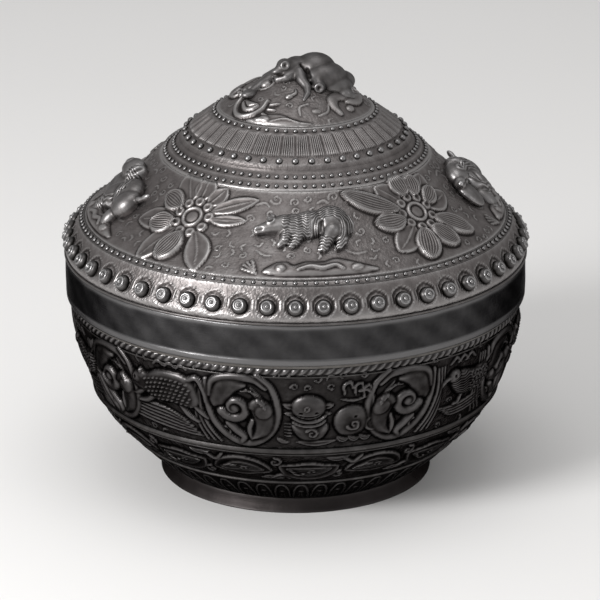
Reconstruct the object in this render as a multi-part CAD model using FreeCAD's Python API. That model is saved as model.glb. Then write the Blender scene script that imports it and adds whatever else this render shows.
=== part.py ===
# Round lidded paan box in chased silver: a footed bowl and a peaked lift-off lid.
# Millimetres. Origin on the table at the middle of the foot, +Z up, front towards -Y.
import FreeCAD, Part
import math
import os

from FreeCAD import Rotation, Vector

# Overall driving sizes
lid_radius = 59.4
foot_height = 3.6
rim_height = 48.9
skirt_height = 10.4
crown_height = 47.2

# Sheet, strip and joint thicknesses
bowl_wall = 0.9
crown_wall = 0.9
skirt_wall = 1.6
solder_gap = 0.02
slide_clearance = 0.3
overrun = 6.0

# Foot strip
foot_radius = 35.6
foot_wall = 1.3

# Rim ring and the collar that guides the lid
rim_thickness = 1.0
rim_ledge = 0.5
collar_height = 7.5
collar_wall = 0.8

# Half-round wires: half width and how far each stands out
rope_half_width = 0.85
rope_stand = 0.75
fine_half_width = 0.22
fine_stand = 0.3
waist_half_width = 0.75
waist_stand = 0.9
lower_half_width = 0.45
lower_stand = 0.5
wire_facet_count = 8
seam_wire_radius = 0.32
seam_wire_stand = 0.25

# Bosses and beads of the lid: base radius and height
boss_radius = 2.1
boss_rise = 1.8
boss_button_radius = 0.8
boss_button_rise = 0.25
boss_count = 54
small_bead_radius = 0.55
small_bead_rise = 0.5
large_bead_radius = 0.85
large_bead_rise = 0.8
lower_row_count = 136
outer_pair_count = 90
inner_pair_count = 86
large_row_count = 44
top_row_count = 54

# Fluted tongues between the two inner bead rows
tongue_width = 3.2
tongue_thickness = 0.35
tongue_taper_share = 0.76
tongue_end_share = 0.92

# Chased relief: how far it stands above the ground
relief_stand = 0.8
low_relief_stand = 0.55

# Flowers on the lid
flower_angles = (-37.0, 45.5, 136.5, 233.5)
flower_lift = 2.0
petal_count = 8
petal_start = 3.9
petal_length = 8.6
short_petal_length = 6.8
petal_width = 5.0
flower_ring_radius = 2.7
flower_ring_width = 0.7
flower_button_radius = 1.2
stamen_count = 8
stamen_circle_radius = 3.35
stamen_radius = 0.5
flower_leaf_start = 12.2
flower_leaf_length = 8.4
flower_leaf_width = 3.0

# Beasts on the lid frieze
boar_angles = (3.0, 185.0)
boar_length = 24.0
boar_height = 10.5
boar_sink = 0.8
crouching_angles = (-79.0, 89.5)
crouching_length = 24.0
crouching_height = 13.0
crouching_sink = 1.0
crouching_lift = 1.6

# Beasts and scrolls round the peak
climbing_length = 7.6
climbing_radius = 2.0
climbing_head_length = 4.0
climbing_head_radius = 1.4
climbing_turn = -60.0
climbing_angles = (-62.0, -122.0, 178.0)
peak_body_radius = 5.2
peak_body_length = 13.0
peak_rise = 4.7
peak_back_share = 0.30
peak_head_share = 0.22
peak_head_length = 7.0
peak_head_radius = 2.7
peak_scroll_count = 6
peak_scroll_radius = 2.5
peak_scroll_angle = -32.0

# Bowl friezes
panel_repeat_count = 3
scroll_angles = (-14.0, 28.0, 66.0)
leopard_angle = -35.5
small_head_angle = 2.0
roundel_angle = 14.6
bird_angle = 50.0
medallion_radius = 7.8
medallion_ring_width = 1.1
comma_radius = 3.1
comma_head_share = 1.08
comma_tail_share = 1.95
leopard_length = 17.0
leopard_height = 13.0
small_head_radius = 3.2
small_head_lift = 2.6
small_ear_length = 3.4
small_ear_width = 1.7
small_belly_radius = 3.0
small_belly_drop = 4.6
roundel_radius = 3.5
roundel_drop = 2.0
bird_length = 13.5
bird_height = 6.4
bird_head_radius = 2.1
feather_length = 5.6
feather_width = 1.5
feather_spread = 26.0
lower_scroll_count = 18
lower_scroll_angle = 4.0
lower_scroll_length = 13.0
lower_scroll_width = 5.4
arch_count = 52
arch_width = 4.1
arch_height = 5.0
arch_line = 0.6
arch_dot_radius = 0.65

# Crown outline from the seam to the peak: shares of lid_radius and of crown_height
crown_shares = {
    "seam": (0.991, 0.0),
    "boss_low": (0.9975, 0.0458),
    "boss_high": (0.9588, 0.1301),
    "line_low": (0.9373, 0.1843),
    "line_high": (0.9114, 0.2119),
    "frieze_mid": (0.7361, 0.3686),
    "pair_low": (0.5782, 0.5521),
    "pair_mid": (0.5400, 0.5890),
    "pair_high": (0.5042, 0.6235),
    "large_low": (0.4857, 0.6578),
    "large_high": (0.4588, 0.6864),
    "top_low": (0.3630, 0.7754),
    "top_high": (0.3311, 0.8030),
    "peak_low": (0.2185, 0.8962),
    "peak_high": (0.1008, 0.9725),
    "peak": (0.0, 1.0),
}

# Bowl outline from the foot to the rim: shares of lid_radius and of the bowl's height
bowl_shares = [
    (0.572, 0.0),
    (0.655, 0.088),
    (0.724, 0.185),
    (0.815, 0.325),
    (0.879, 0.4605),
    (0.924, 0.650),
    (0.958, 0.833),
    (0.971, 1.0),
]

# Heights of the bowl's wires and the middles of its friezes, as shares of the bowl's height
rope_share = 0.976
rope_line_share = 0.944
waist_share = 0.461
waist_line_share = 0.430
lower_share = 0.186
main_frieze_share = 0.708
lower_frieze_share = 0.305
arch_share = 0.092

# Heights that follow from the sizes above
bowl_height = rim_height - rim_thickness - foot_height
bowl_top = foot_height + bowl_height
seam_height = rim_height + skirt_height
skirt_inner_radius = lid_radius - skirt_wall
collar_radius = skirt_inner_radius - slide_clearance
rim_radius = skirt_inner_radius + rim_ledge
rim_inner_radius = collar_radius - collar_wall

os.makedirs("parts", exist_ok=True)


def save(name, solids):
    """Write one node, a solid or a list of separate solids, to its file."""
    shape = solids if isinstance(solids, Part.Shape) else Part.makeCompound(solids)
    shape.exportStep("parts/" + name + ".step")
    print(name, "solids", len(shape.Solids), "volume", round(shape.Volume, 2), "valid", shape.isValid())


def point(r, z):
    """Point of a turned outline, in the XZ plane."""
    return Vector(r, 0, z)


def spline(points):
    """Smooth curve through outline points."""
    curve = Part.BSplineCurve()
    curve.interpolate(points)
    return curve


def turned(edges):
    """Solid turned about the Z axis from a closed outline."""
    face = Part.Face(Part.Wire(Part.__sortEdges__(edges)))
    return face.revolve(Vector(0, 0, 0), Vector(0, 0, 1), 360)


def turned_polygon(points):
    """Solid turned about the Z axis from straight outline runs."""
    return turned(Part.makePolygon(points + [points[0]]).Edges)


def moved_out(points, distance):
    """Outline points moved square to the outline, outwards where distance is above zero."""
    result = []
    for i, here in enumerate(points):
        before = points[max(i - 1, 0)]
        after = points[min(i + 1, len(points) - 1)]
        along = (after - before).normalize()
        result.append(here + Vector(along.z, 0, -along.x) * distance)
    return result


def on_axis(location):
    """The same height on the Z axis."""
    return point(0, location.z)


def tilt_between(low, high):
    """Angle in degrees that a seat's outward normal rises above level."""
    return math.degrees(math.atan2(low.x - high.x, high.z - low.z))


def place(shape, location, tilt, turn=0.0):
    """Carry a shape built on the XY plane, X to the right and Y up, onto a seat facing +X."""
    spin = Rotation(Vector(0, 0, 1), turn)
    stand = Rotation(Vector(0, 1, 0), Vector(-math.sin(math.radians(tilt)), 0, math.cos(math.radians(tilt))),
                     Vector(math.cos(math.radians(tilt)), 0, math.sin(math.radians(tilt))), "XYZ")
    shape.Placement = FreeCAD.Placement(location, stand.multiply(spin)).multiply(shape.Placement)
    return shape


def round_about(shape, angle):
    """Copy turned about Z so that it stands angle degrees to the right of the front."""
    copy = shape.copy()
    copy.rotate(Vector(0, 0, 0), Vector(0, 0, 1), angle - 90)
    return copy


def ring_of(shape, count, start=0.0):
    """Copies spaced evenly all round, the first at start degrees from the front."""
    return [round_about(shape, start + 360.0 * i / count) for i in range(count)]


# Crown outline
crown = {name: point(r * lid_radius, seam_height + z * crown_height)
         for name, (r, z) in crown_shares.items()}


def crown_edges(offset):
    """Outer outline of the crown, moved out by offset."""
    names = list(crown)
    moved = dict(zip(names, moved_out([crown[n] for n in names], offset)))
    moved["peak"] = on_axis(moved["peak"])
    edges = []
    for low, high in zip(names, names[1:]):
        if low == "line_high":
            edges.append(Part.Arc(moved[low], moved["frieze_mid"], moved["pair_low"]).toShape())
        elif low not in ("frieze_mid", "top_high", "peak_low", "peak_high"):
            edges.append(Part.LineSegment(moved[low], moved[high]).toShape())
    top = [moved[n] for n in ("top_high", "peak_low", "peak_high", "peak")]
    edges.append(spline(top).toShape())
    return edges, moved


def crown_core(offset):
    """Solid body of the lid's outside, moved out by offset, used to seat what stands on it."""
    edges, moved = crown_edges(offset)
    base = on_axis(moved["seam"])
    edges.append(Part.LineSegment(moved["seam"], base).toShape())
    edges.append(Part.LineSegment(base, moved["peak"]).toShape())
    return turned(edges)


def lid_crown():
    """Peaked sheet of the lid, with its ledges, open below."""
    edges, outer = crown_edges(0)
    inner_names = ["seam", "boss_high", "frieze_mid", "pair_low", "top_low", "peak_low", "peak"]
    inner = moved_out([crown[n] for n in inner_names], -crown_wall)
    inner[0] = point(crown["seam"].x - crown_wall, crown["seam"].z)
    inner[-1] = point(0, crown["peak"].z - crown_wall)
    edges.append(Part.LineSegment(outer["seam"], inner[0]).toShape())
    for a, b in zip(inner, inner[1:]):
        edges.append(Part.LineSegment(a, b).toShape())
    edges.append(Part.LineSegment(inner[-1], outer["peak"]).toShape())
    return turned(edges)


def dome(base, rise):
    """Bead, the top of a ball, with a flat base on the XY plane."""
    ball = (base * base + rise * rise) / (2 * rise)
    half_sweep = math.asin(min(base / ball, 1.0)) / 2
    bend = point(ball * math.sin(half_sweep), rise - ball + ball * math.cos(half_sweep))
    arc = Part.Arc(point(base, 0), bend, point(0, rise)).toShape()
    floor = Part.LineSegment(point(0, 0), point(base, 0)).toShape()
    middle = Part.LineSegment(point(0, rise), point(0, 0)).toShape()
    return turned([arc, floor, middle])


def seated_row(shape, low, high, count, start=0.0):
    """Copies of a shape seated half way between two outline points, all round."""
    tilt = tilt_between(low, high)
    normal = Vector(math.cos(math.radians(tilt)), 0, math.sin(math.radians(tilt)))
    seat = (low + high) / 2 + normal * solder_gap
    return ring_of(place(shape, seat, tilt), count, start)


def half_round(low, high, stand):
    """Half-round wire laid on the straight run between two outline points."""
    along = (high - low).normalize()
    out = Vector(along.z, 0, -along.x)
    a = low + out * solder_gap
    b = high + out * solder_gap
    arc = Part.Arc(a, (a + b) / 2 + out * stand, b).toShape()
    return turned_polygon(arc.discretize(wire_facet_count + 1))


def line_wires(low, high):
    """Pair of fine wires at the two ends of a straight run of the lid's outline."""
    along = (high - low).normalize() * (fine_half_width * 2)
    return [half_round(low, low + along, fine_stand), half_round(high - along, high, fine_stand)]


# Bowl outline
bowl_outer = [point(r * lid_radius, foot_height + z * bowl_height) for r, z in bowl_shares]


def bowl_curve(offset=0.0):
    """Smooth outer curve of the bowl, moved out by offset and kept between its two ends' heights."""
    points = moved_out(bowl_outer, offset)
    points[0] = point(points[0].x, bowl_outer[0].z)
    points[-1] = point(points[-1].x, bowl_outer[-1].z)
    return spline(points)


def at_height(curve, height):
    """Point of a rising curve at a height, found by halving."""
    low, high = curve.FirstParameter, curve.LastParameter
    for _ in range(40):
        middle = (low + high) / 2
        if curve.value(middle).z < height:
            low = middle
        else:
            high = middle
    return curve.value(low)


def bowl_place(share):
    """Point of the bowl's outside at a share of its height, and the tilt of its normal there."""
    curve = bowl_curve()
    here = at_height(curve, foot_height + share * bowl_height)
    above = at_height(curve, here.z + fine_half_width)
    return here, tilt_between(here, above)


def bowl_wire(share, half_width, stand):
    """Half-round wire round the bowl, with its middle at a share of the bowl's height."""
    here, tilt = bowl_place(share)
    along = Vector(-math.sin(math.radians(tilt)), 0, math.cos(math.radians(tilt)))
    return half_round(here - along * half_width, here + along * half_width, stand)


def bowl_shell():
    """Hollow bowl with a flat floor."""
    inner = moved_out(bowl_outer, -bowl_wall)
    inner[0] = point(inner[0].x, foot_height + bowl_wall)
    inner[-1] = point(bowl_outer[-1].x - bowl_wall, bowl_top)
    edges = [bowl_curve().toShape(), spline(inner).toShape()]
    edges.append(Part.LineSegment(bowl_outer[-1], inner[-1]).toShape())
    edges.append(Part.LineSegment(inner[0], on_axis(inner[0])).toShape())
    edges.append(Part.LineSegment(on_axis(inner[0]), on_axis(bowl_outer[0])).toShape())
    edges.append(Part.LineSegment(on_axis(bowl_outer[0]), bowl_outer[0]).toShape())
    return turned(edges)


def bowl_layer(stand):
    """Skin of metal that lies on the bowl's outside, from which relief is cut."""
    near, far = bowl_curve(solder_gap), bowl_curve(solder_gap + stand)
    foot = Part.LineSegment(near.value(near.FirstParameter), far.value(far.FirstParameter)).toShape()
    rim = Part.LineSegment(near.value(near.LastParameter), far.value(far.LastParameter)).toShape()
    return turned([near.toShape(), rim, far.toShape(), foot])


def lid_layer(stand):
    """Skin of metal that lies on the lid's frieze, from which relief is cut."""
    names = ["line_high", "frieze_mid", "pair_low"]
    near = moved_out([crown[n] for n in names], solder_gap)
    far = moved_out([crown[n] for n in names], solder_gap + stand)
    edges = [Part.Arc(*near).toShape(), Part.LineSegment(near[2], far[2]).toShape(),
             Part.Arc(*far).toShape(), Part.LineSegment(far[0], near[0]).toShape()]
    return turned(edges)


def peak_layer(stand):
    """Skin of metal that lies on the field round the peak."""
    names = ["top_high", "peak_low", "peak_high"]
    near = moved_out([crown[n] for n in names], solder_gap)
    far = moved_out([crown[n] for n in names], solder_gap + stand)
    edges = [spline(near).toShape(), Part.LineSegment(near[2], far[2]).toShape(),
             spline(far).toShape(), Part.LineSegment(far[0], near[0]).toShape()]
    return turned(edges)


def leaf_face(start, length, width, curl=0.0):
    """Pointed leaf along X from start, bent sideways by curl."""
    a = Vector(start, 0, 0)
    b = Vector(start + length, 0, 0)
    middle = (a + b) / 2
    upper = Part.Arc(a, middle + Vector(0, curl + width / 2, 0), b).toShape()
    lower = Part.Arc(b, middle + Vector(0, curl - width / 2, 0), a).toShape()
    return Part.Face(Part.Wire([upper, lower]))


def disc_face(radius, x=0.0, y=0.0):
    """Round face with its middle at x, y."""
    return Part.Face(Part.Wire(Part.makeCircle(radius, Vector(x, y, 0))))


def arch_face(half_width, half_height):
    """Round-topped arch with straight sides, open line shapes are cut from two of these."""
    spring = half_height - half_width
    left, right = Vector(-half_width, spring, 0), Vector(half_width, spring, 0)
    drop = Vector(0, -half_height - spring, 0)
    top = Part.Arc(left, Vector(0, half_height, 0), right).toShape()
    sides = Part.makePolygon([right, right + drop, left + drop, left]).Edges
    return Part.Face(Part.Wire([top] + sides))


def ring_face(radius, width):
    """Flat ring."""
    return disc_face(radius).cut(disc_face(radius - width))


def turned_face(face, angle):
    """Copy of a face turned in its own plane."""
    copy = face.copy()
    copy.rotate(Vector(0, 0, 0), Vector(0, 0, 1), angle)
    return copy


def prism(faces):
    """Faces drawn out both ways and joined, to cut relief from a skin."""
    solids = [face.extrude(Vector(0, 0, overrun * 2)) for face in faces]
    for solid in solids:
        solid.translate(Vector(0, 0, -overrun))
    return solids[0].multiFuse(solids[1:]) if len(solids) > 1 else solids[0]


def cut_relief(groups, layer, location, tilt, turn=0.0):
    """Pieces of a skin, one for each group of faces that belong together."""
    solids = []
    for faces in groups:
        struck = place(prism(faces), location, tilt, turn).common(layer)
        solids.append(max(struck.Solids, key=lambda s: s.CenterOfMass.x))
    return solids


def spread(solids, count, start):
    """Every solid copied evenly all round."""
    return [copy for solid in solids for copy in ring_of(solid, count, start)]


def pod(length, radius):
    """Round-ended body along X, with its middle at the origin and its seam below."""
    half = length / 2
    straight = half - radius
    bend = radius * math.sqrt(0.5)
    left = Part.Arc(Vector(-half, 0, 0), Vector(-straight - bend, bend, 0), Vector(-straight, radius, 0)).toShape()
    top = Part.LineSegment(Vector(-straight, radius, 0), Vector(straight, radius, 0)).toShape()
    right = Part.Arc(Vector(straight, radius, 0), Vector(straight + bend, bend, 0), Vector(half, 0, 0)).toShape()
    floor = Part.LineSegment(Vector(half, 0, 0), Vector(-half, 0, 0)).toShape()
    solid = Part.Face(Part.Wire([left, top, right, floor])).revolve(Vector(0, 0, 0), Vector(1, 0, 0), 360)
    solid.rotate(Vector(0, 0, 0), Vector(1, 0, 0), -90)
    return solid


def pod_at(length, radius, x, y, angle=0.0):
    """Pod turned by angle on the XY plane and moved to x, y."""
    solid = pod(length, radius)
    solid.rotate(Vector(0, 0, 0), Vector(0, 0, 1), angle)
    solid.translate(Vector(x, y, 0))
    return solid


def boar(length, height, sink):
    """Shaggy boar walking left, in high relief on the XY plane and sunk into it, as one solid."""
    shoulder = pod_at(length * 0.56, height * 0.33, -length * 0.04, -height * 0.04)
    rump = pod_at(length * 0.42, height * 0.40, length * 0.26, height * 0.10, -8)
    head = pod_at(length * 0.30, height * 0.20, -length * 0.34, -height * 0.02, 8)
    ear = pod_at(height * 0.30, height * 0.08, -length * 0.31, height * 0.19, 70)
    legs = [pod_at(height * 0.50, height * 0.11, length * x, -height * 0.40, angle)
            for x, angle in ((-0.22, 75), (-0.07, 65), (0.22, 65), (0.37, 60))]
    whole = rump.multiFuse([shoulder, head, ear] + legs)
    whole.translate(Vector(0, 0, -sink))
    return whole


def crouching_beast(length, height, sink):
    """Heavy beast crouching to the left with its head raised, in very high relief, as one solid."""
    body = pod_at(length * 0.62, height * 0.33, length * 0.12, -height * 0.02, -10)
    haunch = pod_at(length * 0.36, height * 0.32, length * 0.30, -height * 0.10, 60)
    head = pod_at(length * 0.38, height * 0.31, -length * 0.24, height * 0.22, 22)
    snout = pod_at(length * 0.22, height * 0.17, -length * 0.40, height * 0.08, 20)
    legs = [pod_at(height * 0.50, height * 0.13, length * x, -height * 0.42, angle)
            for x, angle in ((-0.16, 70), (0.02, 60), (0.36, 60))]
    tail = pod_at(length * 0.26, height * 0.09, length * 0.42, height * 0.16, 70)
    whole = body.multiFuse([haunch, head, snout, tail] + legs)
    whole.translate(Vector(0, 0, -sink))
    return whole


def seated_beasts(solid, location, tilt, angles):
    """Copies of a beast placed on the lid and cut to the shape of what they stand on."""
    above = place(solid, location, tilt).cut(crown_core(solder_gap))
    struck = max(above.Solids, key=lambda s: s.Volume)
    return [round_about(struck, angle) for angle in angles]


def bowl_nodes():
    """Everything that stays on the table when the lid is lifted."""
    foot = [point(foot_radius, 0), point(bowl_outer[0].x, foot_height),
            point(bowl_outer[0].x - foot_wall, foot_height), point(foot_radius - foot_wall, 0)]
    save("foot_ring", turned_polygon(foot))
    save("bowl_shell", bowl_shell())
    rim = [point(rim_radius, bowl_top), point(rim_radius, rim_height),
           point(rim_inner_radius, rim_height), point(rim_inner_radius, bowl_top)]
    save("bowl_rim_ring", turned_polygon(rim))
    collar = [point(collar_radius, rim_height), point(collar_radius, rim_height + collar_height),
              point(rim_inner_radius, rim_height + collar_height), point(rim_inner_radius, rim_height)]
    save("bowl_collar", turned_polygon(collar))
    save("bowl_rope_wire", bowl_wire(rope_share, rope_half_width, rope_stand))
    save("bowl_rope_line_wire", bowl_wire(rope_line_share, fine_half_width, fine_stand))
    save("bowl_waist_wire", bowl_wire(waist_share, waist_half_width, waist_stand))
    save("bowl_waist_line_wire", bowl_wire(waist_line_share, fine_half_width, fine_stand))
    save("bowl_lower_wire", bowl_wire(lower_share, lower_half_width, lower_stand))


def leopard_faces():
    """Leopard running left."""
    length, height = leopard_length, leopard_height
    body = disc_face(height * 0.36, length * 0.14, height * 0.06)
    shoulder = disc_face(height * 0.34, -length * 0.10, height * 0.04)
    face = disc_face(height * 0.25, -length * 0.36, height * 0.22)
    rump_leaf = turned_face(leaf_face(length * 0.20, length * 0.32, height * 0.30), 24)
    front_leg = turned_face(leaf_face(length * 0.04, height * 0.62, height * 0.22), -120)
    hind_leg = turned_face(leaf_face(length * 0.16, height * 0.60, height * 0.22), -42)
    return [[body, shoulder, face, rump_leaf, front_leg, hind_leg]]


def small_head_faces():
    """Small creature seen from the front, its round head with two leaf ears over its belly."""
    head = disc_face(small_head_radius, 0, small_head_lift)
    ears = []
    for side in (0, 180):
        ear = turned_face(leaf_face(small_head_radius - solder_gap, small_ear_length, small_ear_width), side)
        ear.translate(Vector(0, small_head_lift, 0))
        ears.append(ear)
    return [[head] + ears, [disc_face(small_belly_radius, 0, -small_belly_drop)]]


def bird_faces():
    """Bird facing left with a spread tail."""
    body = leaf_face(-bird_length / 2, bird_length, bird_height)
    head = disc_face(bird_head_radius, -bird_length * 0.36, bird_height * 0.42)
    feathers = [turned_face(leaf_face(bird_length * 0.12, feather_length, feather_width), angle)
                for angle in (-feather_spread, feather_spread)]
    return [[body, head] + feathers]


def bowl_relief_nodes():
    """Chased friezes of the bowl, each cut from a skin that follows the bowl's curve."""
    layer = bowl_layer(relief_stand)
    here, tilt = bowl_place(main_frieze_share)
    scrolls = [[ring_face(medallion_radius, medallion_ring_width)]]
    for side in (0, 180):
        head = disc_face(comma_radius, 0, comma_radius * comma_head_share)
        tail = leaf_face(0, comma_radius * comma_tail_share, comma_radius, comma_radius)
        scrolls.append([turned_face(head, side), turned_face(tail, side)])
    struck = cut_relief(scrolls, layer, here, tilt)
    save("bowl_scroll_medallions",
         [copy for angle in scroll_angles for copy in spread(struck, panel_repeat_count, angle)])
    figures = ((leopard_faces(), leopard_angle), (small_head_faces(), small_head_angle),
               ([[disc_face(roundel_radius, 0, -roundel_drop)]], roundel_angle), (bird_faces(), bird_angle))
    save("bowl_beast_panels",
         [copy for groups, angle in figures
          for copy in spread(cut_relief(groups, layer, here, tilt), panel_repeat_count, angle)])
    low_layer = bowl_layer(low_relief_stand)
    here, tilt = bowl_place(lower_frieze_share)
    leaves = [[leaf_face(-lower_scroll_length / 2, lower_scroll_length, lower_scroll_width * 0.42,
                         lower_scroll_width * 0.18)]]
    save("bowl_lower_leaves",
         spread(cut_relief(leaves, low_layer, here, tilt), lower_scroll_count, lower_scroll_angle))
    here, tilt = bowl_place(arch_share)
    arch = arch_face(arch_width / 2, arch_height / 2).cut(arch_face(arch_width / 2 - arch_line,
                                                                    arch_height / 2 - arch_line))
    save("bowl_arch_border", spread(cut_relief([arch.Faces, [disc_face(arch_dot_radius)]], low_layer, here, tilt),
                                    arch_count, lower_scroll_angle))


def lid_nodes():
    """Sheets, wires, bosses and beads that lift off with the lid."""
    save("lid_crown", lid_crown())
    skirt = [point(lid_radius, rim_height), point(lid_radius, seam_height),
             point(skirt_inner_radius, seam_height), point(skirt_inner_radius, rim_height)]
    save("lid_skirt", turned_polygon(skirt))
    wire_circle = lid_radius + seam_wire_stand - seam_wire_radius
    wire = Part.makeTorus(wire_circle, seam_wire_radius, point(0, seam_height + seam_wire_radius + solder_gap))
    save("lid_seam_wire", wire)
    button = Part.makeCylinder(boss_button_radius, boss_rise + boss_button_rise)
    boss = dome(boss_radius, boss_rise).fuse(button).removeSplitter()
    save("lid_boss_row", seated_row(boss, crown["boss_low"], crown["boss_high"], boss_count))
    rows = {
        "lid_lower_bead_row": ("line_low", "line_high", lower_row_count, small_bead_radius, small_bead_rise),
        "lid_outer_pair_bead_row": ("pair_low", "pair_mid", outer_pair_count, small_bead_radius, small_bead_rise),
        "lid_inner_pair_bead_row": ("pair_mid", "pair_high", inner_pair_count, small_bead_radius, small_bead_rise),
        "lid_large_bead_row": ("large_low", "large_high", large_row_count, large_bead_radius, large_bead_rise),
        "lid_top_bead_row": ("top_low", "top_high", top_row_count, small_bead_radius, small_bead_rise),
    }
    for name, (low, high, count, radius, rise) in rows.items():
        save(name, seated_row(dome(radius, rise), crown[low], crown[high], count))
    save("lid_lower_line_wires", line_wires(crown["line_low"], crown["line_high"]))
    save("lid_top_line_wires", line_wires(crown["top_low"], crown["top_high"]))
    save("lid_fluted_tongues", tongues())


def tongues():
    """Thin tapered tongues on the straight run between the large beads and the top beads."""
    low, high = crown["large_high"], crown["top_low"]
    run = (high - low).Length * tongue_end_share
    wide, narrow = tongue_width / 2, tongue_width * tongue_taper_share / 2
    corners = [Vector(-wide, -run / 2, 0), Vector(wide, -run / 2, 0),
               Vector(narrow, run / 2, 0), Vector(-narrow, run / 2, 0)]
    plate = Part.Face(Part.makePolygon(corners + [corners[0]])).extrude(Vector(0, 0, tongue_thickness))
    return seated_row(plate, low, high, large_row_count, 180.0 / large_row_count)


def at_flowers(solids):
    """Every solid of one flower copied to each flower's place."""
    return [round_about(solid, angle) for solid in solids for angle in flower_angles]


def lid_relief_nodes():
    """Flowers, leaves and beasts of the lid, seated on the crown."""
    layer = lid_layer(relief_stand)
    here = crown["frieze_mid"]
    tilt = tilt_between(crown["line_high"], crown["pair_low"])
    flower_seat = here + (crown["pair_low"] - crown["line_high"]).normalize() * flower_lift
    petals = []
    for i in range(petal_count):
        angle = 360.0 * i / petal_count
        length = short_petal_length if 0 < angle < 180 else petal_length
        petals.append([turned_face(leaf_face(petal_start, length, petal_width), angle)])
    save("lid_flower_petals", at_flowers(cut_relief(petals, layer, flower_seat, tilt)))
    stamens = [disc_face(stamen_radius, stamen_circle_radius * math.cos(a), stamen_circle_radius * math.sin(a))
               for a in (math.tau * i / stamen_count for i in range(stamen_count))]
    centre = [ring_face(flower_ring_radius, flower_ring_width), disc_face(flower_button_radius)]
    save("lid_flower_centres", at_flowers(cut_relief([[f] for f in centre + stamens], layer, flower_seat, tilt)))
    leaves = [turned_face(leaf_face(flower_leaf_start, flower_leaf_length, flower_leaf_width, side), angle)
              for angle, side in ((22, flower_leaf_width), (-22, -flower_leaf_width),
                                  (158, -flower_leaf_width), (202, flower_leaf_width))]
    save("lid_flower_leaves", at_flowers(cut_relief([[leaf] for leaf in leaves], layer, flower_seat, tilt)))
    high_seat = here + (crown["pair_low"] - crown["line_high"]).normalize() * crouching_lift
    save("lid_frieze_beasts",
         seated_beasts(boar(boar_length, boar_height, boar_sink), here, tilt, boar_angles)
         + seated_beasts(crouching_beast(crouching_length, crouching_height, crouching_sink), high_seat, tilt,
                         crouching_angles))
    field = peak_layer(low_relief_stand)
    seat = crown["peak_low"]
    tilt = tilt_between(crown["top_high"], crown["peak_high"])
    curls = [[ring_face(peak_scroll_radius, low_relief_stand)], [disc_face(peak_scroll_radius / 3)]]
    core = crown_core(solder_gap)
    seated = [max(curl.cut(core).Solids, key=lambda s: s.Volume) for curl in cut_relief(curls, field, seat, tilt)]
    save("lid_peak_scrolls", spread(seated, peak_scroll_count, peak_scroll_angle))
    save("lid_peak_beast", peak_beast())
    save("lid_climbing_beasts", climbing_beasts())


def peak_beast():
    """Beast crouching over the very top, its head to the left, its curled limb down the front."""
    middle = crown["peak"].z + peak_rise - peak_body_radius
    body = pod(peak_body_length, peak_body_radius)
    body.translate(Vector(peak_body_length * peak_back_share, 0, middle))
    head = pod(peak_head_length, peak_head_radius)
    head.rotate(Vector(0, 0, 0), Vector(0, 0, 1), 45)
    head.translate(Vector(-peak_body_length * peak_head_share, -peak_head_radius, middle))
    haunch = pod(peak_head_length, peak_head_radius)
    haunch.rotate(Vector(0, 0, 0), Vector(0, 0, 1), 90)
    haunch.translate(Vector(peak_body_length * peak_back_share, -peak_body_radius, middle - peak_head_radius / 2))
    whole = body.multiFuse([head, haunch]).cut(crown_core(solder_gap))
    return [max(whole.Solids, key=lambda s: s.Volume)]


def climbing_beasts():
    """Smaller beasts climbing towards the peak, round it, each a body with its head raised."""
    tilt = tilt_between(crown["top_high"], crown["peak_high"])
    body = pod(climbing_length, climbing_radius)
    head = pod_at(climbing_head_length, climbing_head_radius, -climbing_length / 2, climbing_radius / 2, 30)
    whole = place(body.fuse(head), crown["peak_low"], tilt, climbing_turn).cut(crown_core(solder_gap))
    climbing = max(whole.Solids, key=lambda s: s.Volume)
    return [round_about(climbing, angle) for angle in climbing_angles]


bowl_nodes()
bowl_relief_nodes()
lid_nodes()
lid_relief_nodes()
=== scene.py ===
"""Looks of a round footed betel box in chased silver, with a peaked lift-off lid."""

import logging
import math
from dataclasses import dataclass, field
from enum import Enum

import bpy
import numpy as np
from mathutils import Matrix, Vector


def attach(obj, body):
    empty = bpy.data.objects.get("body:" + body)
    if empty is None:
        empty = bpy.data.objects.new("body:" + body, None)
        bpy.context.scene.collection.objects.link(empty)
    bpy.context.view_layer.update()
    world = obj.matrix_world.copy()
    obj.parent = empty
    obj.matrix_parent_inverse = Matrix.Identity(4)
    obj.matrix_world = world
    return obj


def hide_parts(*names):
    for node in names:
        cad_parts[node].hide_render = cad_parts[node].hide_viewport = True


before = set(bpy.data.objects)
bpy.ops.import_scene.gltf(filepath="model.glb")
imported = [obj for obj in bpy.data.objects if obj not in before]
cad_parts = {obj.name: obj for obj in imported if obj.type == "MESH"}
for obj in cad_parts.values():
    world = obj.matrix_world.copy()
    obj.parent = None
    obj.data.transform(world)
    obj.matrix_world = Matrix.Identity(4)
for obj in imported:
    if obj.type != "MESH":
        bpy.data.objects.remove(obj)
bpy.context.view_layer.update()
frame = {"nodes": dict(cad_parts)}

MM = 0.001
LOG = logging.getLogger("betel_box")
Point = tuple[float, float]
Triple = tuple[float, float, float]
Piece = bpy.types.Object
Socket = bpy.types.NodeSocket
MERGE = 2e-6  # metres within which points are one
PLAIN_PHASE = 0.25  # phase at which a line mark is at its crest
INNER_SHINE = 1.3  # line mark that keeps the unchased inner side lighter
GROUND_DEPTH = 0.12  # millimetres of relief over which the ground ends
CLOSED = 0.01  # millimetres of radius below which a sheet is closed at its top


class Body(Enum):
    """The two bodies of the box."""

    BOWL = "bowl"
    LID = "lid"


class Seat(Enum):
    """How a chased mark joins what is already struck."""

    GROUND = "ground"
    ON_TOP = "on top"
    CUT = "cut"


GROUND, ON_TOP, CUT = Seat


# Camera

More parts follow.
